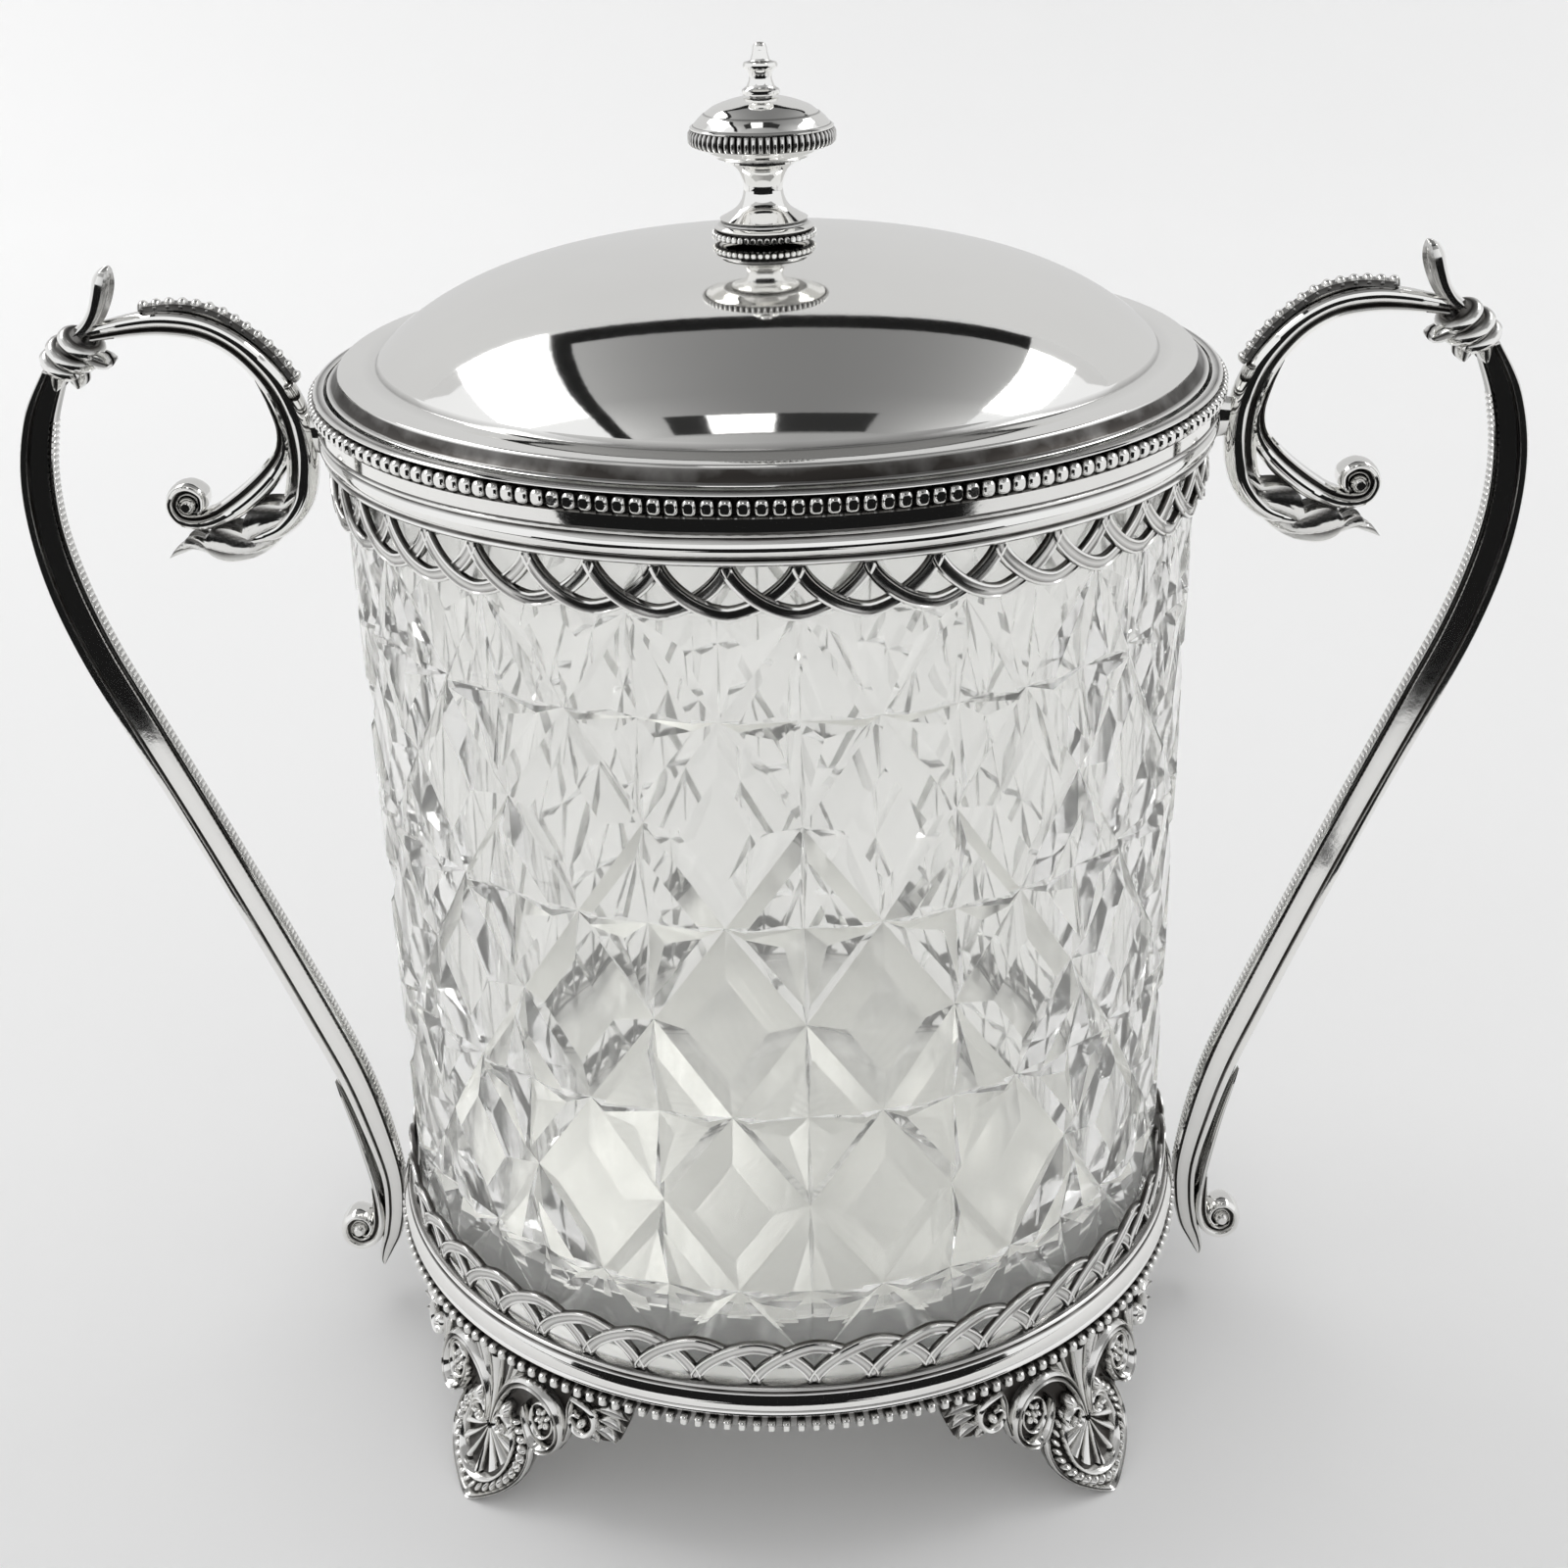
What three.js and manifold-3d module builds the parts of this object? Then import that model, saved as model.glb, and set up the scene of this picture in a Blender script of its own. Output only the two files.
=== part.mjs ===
// Biscuit jar: a cut-glass liner in a silver-plated frame with two scroll handles, four cast feet
// and a lift-off domed lid with a turned finial.
// Millimetres, +Z up. The origin is on the table under the middle of the jar.
// The handles stand on the X axis, and -Y is the front.

import * as THREE from 'three';
import { mergeVertices } from 'three/addons/utils/BufferGeometryUtils.js';
import Module from 'manifold-3d';

const wasm = await Module();
wasm.setup();

// Driving sizes of the frame
const bandStandOut = 2.6;
const frameSides = 36;
const seatGap = 0.3;
const footHeight = 25.7;
const baseBandHeight = 8.0;
const galleryHeight = 7.6;
const galleryCount = 46;
const galleryThickness = 1.4;
const topBandHeight = 10.1;
const beadWireRadius = 0.95;

// Driving sizes of the glass liner
const glassRadius = 66.8;
const glassClearance = 0.6;
const glassWall = 4.6;
const glassFloor = 6.0;
const glassHeight = 144.3;
const glassNeck = 17.5;
const cutColumns = 18;
const cutTurn = 4;
const cutDepth = 2.2;
const windowDepth = 0.5;
const starDepth = 1.3;
const wholeCutRows = 7;
const lastRowShare = 0.85;
const heelDrop = 1.2;
const rimRound = 1.0;

// Driving sizes of the base plate
const plateThickness = 1.0;
const plateLedgeThickness = 1.2;
const plateLedgeWidth = 5.0;

// Driving sizes of the lid
const lidEdgeThickness = 0.7;
const lidWall = 1.0;
const lidLipGap = 0.5;
const domeHeight = 18.5;
const bezelDepth = 7.0;
const bezelThickness = 0.9;
const bezelClearance = 0.6;

// Driving sizes of the finial
const finialSides = 12;
const studRadius = 1.4;
const collarRadius = 7.5;
const collarHeight = 2.6;
const finialBeadRadius = 0.55;
const waistHeight = 8.8;
const waistRadius = 3.0;
const waistTopRadius = 5.7;
const bunRadius = 11.2;
const bunHeight = 8.6;
const spireHeight = 7.4;
const spireRadius = 2.8;
const washerRadius = 4.5;
const washerThickness = 0.6;
const nutAcross = 6.4;
const nutHeight = 2.4;
const studTail = 0.6;
const studThreadInSpire = 1.6;

// Driving sizes of the handles
const stemWidth = 5.9;
const stemDepth = 5.2;
const scrollWidth = 3.9;
const scrollDepth = 5.0;
const knotLength = 7.2;
const knotRadius = 4.3;
const knotSides = 10;
const handleBeadHeight = 1.5;
const handleBeadDepth = 2.6;
const handleBeads = 13;
const leafThickness = 1.5;
const leafWidth = 5.6;
const handleWidth = 50.0;
const knotHeight = 3.1;
const knotAngle = 45.837;

// Driving sizes of the feet
const footAngle = 46;
const footKickWidth = 9.2;
const footKickPower = 2.2;
const footPlateThickness = 2.2;
const footInset = 3.1;
const cartoucheHalfWidth = 8.8;
const cartoucheHeight = 19.0;
const cartoucheRelief = 1.5;
const wingLength = 28.0;

// Heights and radii worked out from the driving sizes
const boreRadius = glassRadius + glassClearance;
const beadCircleRadius = boreRadius + bandStandOut;
const baseBandBottom = footHeight + seatGap;
const baseBandTop = baseBandBottom + baseBandHeight;
const plateTop = baseBandTop - seatGap;
const plateBottom = plateTop - plateThickness;
const glassBottom = plateTop + seatGap;
const glassTop = glassBottom + glassHeight;
const topBandTop = glassTop + seatGap;
const topBandBottom = topBandTop - topBandHeight;
const lidEdgeBottom = glassTop + seatGap;
const galleryInner = boreRadius;
const galleryOuter = galleryInner + galleryThickness;
const beadSeatRadius = beadCircleRadius - beadWireRadius - seatGap;
const lipInnerRadius = boreRadius + seatGap * 3;
const lidEdgeRadius = lipInnerRadius - lidLipGap;
const glassInnerRadius = glassRadius - glassWall;
const bezelRadius = glassInnerRadius - bezelClearance;
const lidTop = lidEdgeBottom + domeHeight;

const silver = { color: 0xd6d4cd, roughness: 0.12, metalness: 1.0 };
const oldSilver = { color: 0xb9b6ad, roughness: 0.22, metalness: 1.0 };
const cutGlass = { color: 0xe9efee, roughness: 0.03, metalness: 0.0, transparent: true, opacity: 0.45 };

const jar = new THREE.Group();

// Adds one named piece to the jar
function addPiece(name, geometry, finish) {
  const piece = new THREE.Mesh(geometry, new THREE.MeshStandardMaterial(finish));
  piece.name = name;
  jar.add(piece);
  return piece;
}

// Builds a closed geometry from lists of corners and of triangles
function closedGeometry(corners, triangles) {
  const geometry = new THREE.BufferGeometry();
  geometry.setAttribute('position', new THREE.Float32BufferAttribute(corners.flat(), 3));
  geometry.setIndex(triangles.flat());
  return geometry;
}

// Drops normals and uvs and merges the corners that meet
function welded(geometry) {
  const bare = geometry.clone();
  bare.deleteAttribute('normal');
  bare.deleteAttribute('uv');
  return mergeVertices(bare, seatGap / 1000);
}

// Turns a closed geometry into a solid for joining and cutting
function toSolid(geometry) {
  const merged = welded(geometry);
  const vertProperties = Float32Array.from(merged.attributes.position.array);
  const triVerts = Uint32Array.from(merged.index.array);
  return new wasm.Manifold(new wasm.Mesh({ numProp: 3, vertProperties, triVerts }));
}

// Turns a solid back into a geometry
function fromSolid(solid) {
  const mesh = solid.getMesh();
  const geometry = new THREE.BufferGeometry();
  geometry.setAttribute('position', new THREE.BufferAttribute(mesh.vertProperties, 3));
  geometry.setIndex(new THREE.BufferAttribute(mesh.triVerts, 1));
  return geometry;
}

// Revolves a profile of [radius, height] points about Z; the profile is closed or ends on the axis
function revolved(profile, sides) {
  const points = profile.map(([r, z]) => new THREE.Vector2(r, z));
  const geometry = new THREE.LatheGeometry(points, sides);
  geometry.rotateX(Math.PI / 2);
  return geometry;
}

// A ring whose section is the closed loop of [radius, height] points, run anticlockwise
function ring(loop, sides) {
  return revolved([...loop, loop[0]], sides);
}

// A round wire bent into a level ring
function wireRing(circleRadius, wireRadius, height, sides, wireSides) {
  const loop = [];
  for (let i = 0; i < wireSides; i += 1) {
    const turn = (2 * Math.PI * i) / wireSides;
    loop.push([circleRadius + wireRadius * Math.cos(turn), height + wireRadius * Math.sin(turn)]);
  }
  return ring(loop, sides);
}

// The pierced gallery: one bay of interlaced arches, repeated round the ring.
// Places in a bay are shares: across, 0 to 1 from one tip to the next, and down, 0 at the band and 1 at
// the tip.
const bayOutlineShares = [
  [0, 0], [1, 0], [1, 0.15], [0.61, 0.62], [1, 0.85], [1, 1],
  [0.5, 0.78], [0, 1], [0, 0.85], [0.39, 0.62], [0, 0.15],
];
const bayWindowShares = [[0.19, 0.1], [0.5, 0.5], [0.81, 0.1]];

function gallery(bandHeight, direction) {
  const outline = bayOutlineShares.map(([x, y]) => new THREE.Vector2(x, y));
  const window = bayWindowShares.map(([x, y]) => new THREE.Vector2(x, y));
  const flat = [...outline, ...window];
  const faces = THREE.ShapeUtils.triangulateShape(outline, [window]);
  const corners = [];
  const triangles = [];
  const place = (share, bay, radius) => {
    const turn = (2 * Math.PI * (bay + share.x)) / galleryCount;
    const height = bandHeight + direction * galleryHeight * share.y;
    return [radius * Math.cos(turn), radius * Math.sin(turn), height];
  };
  const onBayEdge = (a, b) => a.x === b.x && (a.x === 0 || a.x === 1);
  const signedArea = (loop) => THREE.ShapeUtils.area(loop);
  for (let bay = 0; bay < galleryCount; bay += 1) {
    const front = corners.length;
    flat.forEach((share) => corners.push(place(share, bay, galleryOuter)));
    const back = corners.length;
    flat.forEach((share) => corners.push(place(share, bay, galleryInner)));
    const outwards = direction > 0;
    faces.forEach(([a, b, c]) => {
      const area = signedArea([flat[a], flat[b], flat[c]]);
      const facing = area > 0 === outwards;
      const [p, q] = facing ? [b, c] : [c, b];
      triangles.push([front + a, front + p, front + q]);
      triangles.push([back + a, back + q, back + p]);
    });
    const wall = (loop, first, solidOnLeft) => {
      loop.forEach((share, i) => {
        const j = (i + 1) % loop.length;
        if (onBayEdge(share, loop[j])) return;
        const flip = solidOnLeft === outwards;
        const [m, n] = flip ? [first + i, first + j] : [first + j, first + i];
        triangles.push([front + n, front + m, back + m]);
        triangles.push([front + n, back + m, back + n]);
      });
    };
    wall(outline, 0, signedArea(outline) > 0);
    wall(window, outline.length, signedArea(window) < 0);
  }
  return welded(closedGeometry(corners, triangles));
}

// The moulded band round the base, with the ledge that the plate lies on
function baseBand() {
  const ledgeBottom = plateBottom - seatGap - plateLedgeThickness;
  const ledgeTop = plateBottom - seatGap;
  const swell = beadCircleRadius + 0.6 * seatGap;
  const beadTop = baseBandBottom + 2 * beadWireRadius + 2 * seatGap;
  const upper = baseBandTop - beadTop;
  return ring([
    [boreRadius - plateLedgeWidth, ledgeBottom],
    [boreRadius - plateThickness, ledgeBottom],
    [boreRadius - plateThickness, baseBandBottom],
    [beadSeatRadius + seatGap, baseBandBottom],
    [beadSeatRadius + seatGap, beadTop],
    [swell, beadTop + upper * 0.1],
    [swell - 2 * seatGap, beadTop + upper * 0.26],
    [swell + seatGap, beadTop + upper * 0.52],
    [swell - seatGap, beadTop + upper * 0.8],
    [galleryOuter + seatGap, baseBandTop],
    [boreRadius, baseBandTop],
    [boreRadius, ledgeTop],
    [boreRadius - plateLedgeWidth, ledgeTop],
  ], frameSides);
}

// The flat pan under the glass
function basePlate() {
  const radius = boreRadius - seatGap;
  return revolved([[0, plateBottom], [radius, plateBottom], [radius, plateTop], [0, plateTop]], frameSides);
}

// The moulded band at the mouth: bottom astragal, torus, flat fillet, bead seat and rolled lip
function topBand() {
  const seatBottom = topBandTop - seatGap - 2 * beadWireRadius - 2 * seatGap;
  const lower = seatBottom - topBandBottom;
  const lipRadius = beadCircleRadius;
  return ring([
    [boreRadius, topBandBottom],
    [galleryOuter + seatGap / 2, topBandBottom],
    [lipRadius - 2 * seatGap, topBandBottom + lower * 0.14],
    [lipRadius - 3 * seatGap, topBandBottom + lower * 0.27],
    [lipRadius, topBandBottom + lower * 0.4],
    [lipRadius - 2 * seatGap, topBandBottom + lower * 0.54],
    [beadSeatRadius, seatBottom],
    [beadSeatRadius, topBandTop - 2 * seatGap],
    [lipRadius, topBandTop - seatGap],
    [lipRadius - seatGap, topBandTop],
    [lipInnerRadius, topBandTop],
    [boreRadius, topBandTop - 4 * seatGap],
  ], frameSides);
}

// Heights of the two rows of beads
function beadRingHeight(atTop) {
  if (atTop) return topBandTop - 2 * seatGap - seatGap / 2 - beadWireRadius;
  return baseBandBottom + beadWireRadius + seatGap;
}

// The cut-glass liner.
// Corners lie on a lattice of half columns and half rows, and the mitre cuts cross at every corner but the
// even ones of even rows. Those carry a flat window, and the odd ones of odd rows a diamond cut in quarters.
// Shares run from a diamond's middle: across to its side corner, and up to its tip.
const windowShares = { across: 0.515, up: 0.544 };
const quarterShares = { middle: [0.266, 0.1125], tip: [0.0386, 0.7275], side: [0.734, 0.034] };
const runOutShares = { neck: 0.16, heel: 0.4 };
const halfWindowShares = [0.36, 0.275];

function glassLiner() {
  const halfColumns = 2 * cutColumns;
  const rows = wholeCutRows + 1;
  const corners = [];
  const triangles = [];
  const firstRow = glassTop - glassNeck;
  const lastRow = glassBottom + heelDrop;
  const rowPitch = (firstRow - lastRow) / (wholeCutRows + lastRowShare);
  const rowHeight = (row) => (row === rows ? lastRow : firstRow - row * rowPitch);
  const columnTurn = (column) => THREE.MathUtils.degToRad(cutTurn) + (2 * Math.PI * column) / halfColumns;
  const add = (column, height, radius) => {
    const turn = columnTurn(column);
    corners.push([radius * Math.cos(turn), radius * Math.sin(turn), height]);
    return corners.length - 1;
  };
  const depthAt = (row) => {
    if (row === 0) return cutDepth * runOutShares.neck;
    return row === rows ? cutDepth * runOutShares.heel : cutDepth;
  };
  const lattice = [];
  for (let row = 0; row <= rows; row += 1) {
    const line = [];
    for (let column = 0; column < halfColumns; column += 1) {
      line.push(add(column, rowHeight(row), glassRadius - depthAt(row)));
    }
    lattice.push(line);
  }
  const at = (row, column) => lattice[row][(column + halfColumns) % halfColumns];
  const between = (column, row, side, up, [across, rise], radius) => {
    const height = rowHeight(row) + (rowHeight(row + up) - rowHeight(row)) * rise;
    return add(column + side * across, height, radius);
  };
  const windowDiamond = (row, column) => {
    const flat = glassRadius - windowDepth;
    const leaning = flat / Math.cos((windowShares.across * Math.PI) / cutColumns);
    const ends = [[0, -1], [-1, 0], [0, 1], [1, 0]];
    const loop = ends.map(([side, up]) => at(row + up, column + side));
    const inner = ends.map(([side, up]) => {
      const shares = [windowShares.across, windowShares.up];
      return between(column, row, side, up, shares, side === 0 ? flat : leaning);
    });
    loop.forEach((corner, i) => {
      const next = (i + 1) % loop.length;
      triangles.push([corner, loop[next], inner[next]]);
      triangles.push([corner, inner[next], inner[i]]);
    });
    triangles.push([inner[0], inner[1], inner[2]]);
    triangles.push([inner[0], inner[2], inner[3]]);
  };
  const facing = (flip, list) => {
    list.forEach(([a, b, c]) => triangles.push(flip ? [a, c, b] : [a, b, c]));
  };
  const quarterDiamond = (row, column, side, up) => {
    const [middle, tip, end] = [at(row, column), at(row + up, column), at(row, column + side)];
    const places = [quarterShares.middle, quarterShares.tip, quarterShares.side];
    const [p, q, r] = places.map((shares) => between(column, row, side, up, shares, glassRadius));
    facing(side === up, [
      [middle, p, q], [middle, q, tip],
      [middle, end, r], [middle, r, p],
      [tip, q, r], [tip, r, end],
      [p, r, q],
    ]);
  };
  const halfWindow = (edge, tipRow, column) => {
    const up = tipRow - edge;
    [-1, 1].forEach((side) => {
      const apex = between(column, edge, side, up, halfWindowShares, glassRadius);
      const [middle, tip, end] = [at(edge, column), at(tipRow, column), at(edge, column + side)];
      facing(side === up, [[middle, end, apex], [tip, middle, apex], [tip, apex, end]]);
    });
  };
  const quarters = [[1, 1], [1, -1], [-1, 1], [-1, -1]];
  for (let row = 1; row < rows; row += 1) {
    for (let column = row % 2; column < halfColumns; column += 2) {
      if (row % 2 === 0) windowDiamond(row, column);
      else quarters.forEach(([side, up]) => quarterDiamond(row, column, side, up));
    }
  }
  for (let column = 0; column < halfColumns; column += 2) {
    halfWindow(0, 1, column);
    halfWindow(rows, rows - 1, column);
  }
  const circle = (height, radius) => {
    const line = [];
    for (let column = 0; column < halfColumns; column += 1) line.push(add(column, height, radius));
    return line;
  };
  const skin = (upper, lower) => {
    for (let i = 0; i < halfColumns; i += 1) {
      const j = (i + 1) % halfColumns;
      triangles.push([lower[i], lower[j], upper[j]], [lower[i], upper[j], upper[i]]);
    }
  };
  const neck = circle(glassTop - rimRound, glassRadius);
  const rimOuter = circle(glassTop, glassRadius - rimRound);
  const rimInner = circle(glassTop, glassInnerRadius);
  const floorRing = circle(glassBottom + glassFloor, glassInnerRadius);
  const heel = circle(glassBottom, glassRadius - heelDrop);
  const star = [];
  const starRadius = glassRadius * 0.7;
  for (let column = 0; column < halfColumns; column += 1) {
    star.push(add(column, glassBottom + (column % 2) * starDepth, starRadius));
  }
  skin(neck, lattice[0]);
  skin(rimOuter, neck);
  skin(rimInner, rimOuter);
  skin(floorRing, rimInner);
  skin(lattice[rows], heel);
  skin(heel, star);
  const floorMiddle = add(0, glassBottom + glassFloor, 0);
  const starMiddle = add(0, glassBottom + starDepth, 0);
  for (let i = 0; i < halfColumns; i += 1) {
    const j = (i + 1) % halfColumns;
    triangles.push([floorRing[i], floorRing[j], floorMiddle]);
    triangles.push([star[j], star[i], starMiddle]);
  }
  return welded(closedGeometry(corners, triangles));
}

// The dome's outer line, from the axis side to the edge: shares of the edge radius and of the rise.
// The brim runs on level from the dome's foot to its own corner and then falls to the edge.
const domeShares = [
  [0.325, 0.96], [0.54, 0.85], [0.72, 0.64], [0.825, 0.415], [0.875, 0.24], [0.905, 0.145],
];
const brimShare = [0.972, 0.13];

function lidDome() {
  const hole = studRadius + seatGap;
  const place = ([r, z]) => [lidEdgeRadius * r, lidEdgeBottom + domeHeight * z];
  const outer = [...domeShares, brimShare].map(place);
  const inner = domeShares.map(place).map(([r, z]) => [r - lidWall / 2, z - lidWall]);
  return ring([
    [hole, lidTop - lidWall],
    ...inner,
    [bezelRadius + 3 * bezelThickness, lidEdgeBottom],
    [lidEdgeRadius, lidEdgeBottom],
    [lidEdgeRadius, lidEdgeBottom + lidEdgeThickness],
    ...outer.reverse(),
    [hole, lidTop],
  ], frameSides);
}

// The plain ring under the lid that centres it in the glass
function lidBezel() {
  const inner = bezelRadius - bezelThickness;
  const top = lidEdgeBottom + lidEdgeThickness + seatGap;
  const bottom = lidEdgeBottom - bezelDepth;
  return ring([[inner, bottom], [bezelRadius, bottom], [bezelRadius, top], [inner, top]], frameSides);
}

// The finial is built up on one stud: collar, waist, bun and spire, with a washer and nut under the lid
const collarBottom = lidTop + seatGap;
const collarTop = collarBottom + collarHeight;
const waistBottom = collarTop + seatGap;
const waistTop = waistBottom + waistHeight;
const bunBottom = waistTop + seatGap;
const bunTop = bunBottom + bunHeight;
const spireBottom = bunTop + seatGap;
const spireTop = spireBottom + spireHeight;
const washerTop = lidTop - lidWall - seatGap * 1.35;
const washerBottom = washerTop - washerThickness;
const nutTop = washerBottom - seatGap;
const nutBottom = nutTop - nutHeight;
const studBore = studRadius + seatGap;

function finialCollar() {
  const groove = collarRadius - finialBeadRadius - seatGap;
  return ring([
    [studBore, collarBottom],
    [groove, collarBottom],
    [groove, collarBottom + collarHeight * 0.62],
    [collarRadius, collarBottom + collarHeight * 0.72],
    [collarRadius * 0.95, collarTop],
    [studBore, collarTop],
  ], finialSides);
}

function finialBeads() {
  const height = collarBottom + finialBeadRadius + seatGap / 2;
  return wireRing(collarRadius, finialBeadRadius, height, finialSides, 4);
}

function finialWaist() {
  const rise = (share) => waistBottom + waistHeight * share;
  return ring([
    [studBore, waistBottom],
    [collarRadius * 0.9, waistBottom],
    [collarRadius * 0.72, rise(0.1)],
    [waistRadius * 1.3, rise(0.24)],
    [waistRadius, rise(0.5)],
    [waistRadius * 1.25, rise(0.8)],
    [waistTopRadius, rise(0.95)],
    [waistTopRadius, waistTop],
    [studBore, waistTop],
  ], finialSides);
}

// Radius and height shares of the bun, from its foot to its crown
const bunShares = [[0.63, 0], [0.9, 0.24], [1, 0.42], [0.86, 0.6], [0.66, 0.78], [0.26, 1]];

function finialBun() {
  return ring([
    [studBore, bunBottom],
    ...bunShares.map(([r, z]) => [bunRadius * r, bunBottom + bunHeight * z]),
    [studBore, bunTop],
  ], finialSides);
}

function finialSpire() {
  const rise = (share) => spireBottom + spireHeight * share;
  const ceiling = spireBottom + studThreadInSpire + seatGap;
  return revolved([
    [0, ceiling],
    [studBore, ceiling],
    [studBore, spireBottom],
    [spireRadius, spireBottom],
    [spireRadius, rise(0.1)],
    [spireRadius * 0.75, rise(0.2)],
    [spireRadius * 0.62, rise(0.38)],
    [spireRadius * 0.92, rise(0.54)],
    [spireRadius * 0.45, rise(0.68)],
    [spireRadius * 0.3, spireTop],
    [0, spireTop],
  ], finialSides);
}

function finialStud() {
  const bottom = nutBottom - studTail;
  const top = spireBottom + studThreadInSpire;
  return revolved([[0, bottom], [studRadius, bottom], [studRadius, top], [0, top]], finialSides);
}

function finialWasher() {
  return ring([
    [studBore, washerBottom], [washerRadius, washerBottom], [washerRadius, washerTop], [studBore, washerTop],
  ], finialSides);
}

// A hexagonal nut with a round bore
function finialNut() {
  const corner = nutAcross / Math.sqrt(3);
  const hexSides = 6;
  const outline = new THREE.Shape();
  for (let i = 0; i < hexSides; i += 1) {
    const turn = (2 * Math.PI * i) / hexSides;
    const point = [corner * Math.cos(turn), corner * Math.sin(turn)];
    if (i === 0) outline.moveTo(...point);
    else outline.lineTo(...point);
  }
  const bore = new THREE.Path();
  bore.absarc(0, 0, studBore, 0, 2 * Math.PI, true);
  outline.holes.push(bore);
  const geometry = new THREE.ExtrudeGeometry(outline, {
    depth: nutHeight, bevelEnabled: false, curveSegments: finialSides,
  });
  geometry.translate(0, 0, nutBottom);
  return geometry;
}

// Sweeps a section along points in the XZ plane.
// Each station is [x, z, half width in the plane, half depth along Y]; the section is a list of shares
// of those two halves, run anticlockwise when seen from the far end.
function swept(stations, sectionShares, steps) {
  const places = stations.map(([x, z]) => new THREE.Vector3(x, 0, z));
  const path = new THREE.CatmullRomCurve3(places, false, 'centripetal');
  const widths = new THREE.SplineCurve(stations.map(([, , w, d]) => new THREE.Vector2(w, d)));
  const corners = [];
  const triangles = [];
  const count = sectionShares.length;
  for (let i = 0; i <= steps; i += 1) {
    const t = i / steps;
    const centre = path.getPoint(t);
    const along = path.getTangent(t);
    const size = widths.getPoint(t);
    sectionShares.forEach(([across, deep]) => {
      corners.push([
        centre.x + along.z * across * size.x,
        deep * size.y,
        centre.z - along.x * across * size.x,
      ]);
    });
  }
  for (let i = 0; i < steps; i += 1) {
    for (let j = 0; j < count; j += 1) {
      const k = (j + 1) % count;
      const [a, b, c, d] = [i * count + j, i * count + k, (i + 1) * count + k, (i + 1) * count + j];
      triangles.push([a, b, c], [a, c, d]);
    }
  }
  const last = steps * count;
  for (let j = 1; j < count - 1; j += 1) {
    triangles.push([0, j + 1, j]);
    triangles.push([last, last + j, last + j + 1]);
  }
  return closedGeometry(corners, triangles);
}

// Sections: a strap with a groove down each face, a plain rounded strap and a leaf
const groovedSection = [
  [1, -0.5], [1, 0.5], [0.62, 1], [0, 0.66], [-0.62, 1],
  [-1, 0.5], [-1, -0.5], [-0.62, -1], [0, -0.66], [0.62, -1],
];
const strapSection = [
  [1, -0.55], [1, 0.55], [0.45, 1], [-0.45, 1], [-1, 0.55], [-1, -0.55], [-0.45, -1], [0.45, -1],
];
const leafSection = [[1, 0], [0.3, 1], [-1, 0.5], [-0.4, 0], [-1, -0.5], [0.3, -1]];
const squareSection = [[1, -1], [1, 1], [-1, 1], [-1, -1]];

// Stations of the right-hand handle, as shares: [across, up, half width, half depth].
// Across is 0 at the bead circle and 1 at the widest place of the stem, and up is 0 on the table and 1 at
// the knot.
const stemStationShares = [
  [0.8375, 0.9824, 0.62, 0.7],
  [0.904, 0.943, 0.84, 0.8],
  [0.94, 0.895, 0.96, 0.95],
  [0.941, 0.843, 1, 1],
  [0.908, 0.787, 1.02, 1],
  [0.841, 0.726, 1.04, 1],
  [0.744, 0.661, 1.04, 1],
  [0.578, 0.553, 1, 1],
  [0.414, 0.442, 1, 1],
  [0.258, 0.332, 1, 1],
  [0.174, 0.269, 0.95, 1],
  [0.118, 0.211, 0.87, 1],
  [0.077, 0.151, 0.77, 0.95],
  [0.082, 0.105, 0.7, 0.9],
  [0.124, 0.066, 0.62, 0.9],
  [0.204, 0.053, 0.55, 0.95],
  [0.272, 0.07, 0.5, 1],
  [0.232, 0.087, 0.4, 1],
];
const scrollStationShares = [
  [0.7068, 1.0175, 0.62, 0.7],
  [0.572, 1.024, 0.85, 0.85],
  [0.46, 1.026, 1, 1],
  [0.352, 1.021, 1, 1],
  [0.262, 1.008, 1, 1],
  [0.188, 0.989, 1, 1],
  [0.128, 0.966, 1.05, 1],
  [0.088, 0.937, 1.2, 1],
  [0.078, 0.901, 1.2, 1],
  [0.1, 0.867, 1.2, 1],
  [0.172, 0.845, 1.2, 1],
  [0.272, 0.836, 1.15, 1],
  [0.372, 0.831, 1.05, 1],
  [0.468, 0.83, 0.9, 1],
  [0.54, 0.843, 0.75, 1],
  [0.54, 0.865, 0.65, 1],
  [0.472, 0.876, 0.6, 1],
  [0.412, 0.866, 0.5, 1],
];
const beadingStationShares = [
  [0.592, 1.0395, 1, 1],
  [0.46, 1.0433, 1, 1],
  [0.332, 1.0372, 1, 1],
  [0.224, 1.0212, 1, 1],
  [0.14, 0.9997, 1, 1],
];
const thumbLeafStationShares = [
  [0.693, 1.0296, 1, 0.5],
  [0.67, 1.0445, 1, 0.8],
  [0.645, 1.059, 0.9, 1],
  [0.624, 1.07, 0.7, 0.85],
  [0.598, 1.0745, 0.45, 0.45],
];
const scrollLeafStationShares = [
  [0.18, 0.824, 0.5, 0.5],
  [0.28, 0.8162, 0.8, 0.85],
  [0.384, 0.8117, 0.9, 1],
  [0.48, 0.8125, 0.7, 0.7],
  [0.564, 0.808, 0.3, 0.25],
];
const lowerLeafStationShares = [
  [0.272, 0.251, 0.4, 0.3],
  [0.224, 0.218, 0.8, 0.75],
  [0.165, 0.171, 0.9, 0.9],
  [0.1355, 0.124, 0.7, 0.6],
];
const knotTop = topBandTop + knotHeight;
const knotPlaceShares = [0.772, 1];
const solderShares = { low: 0.925, high: 0.965 };

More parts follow.
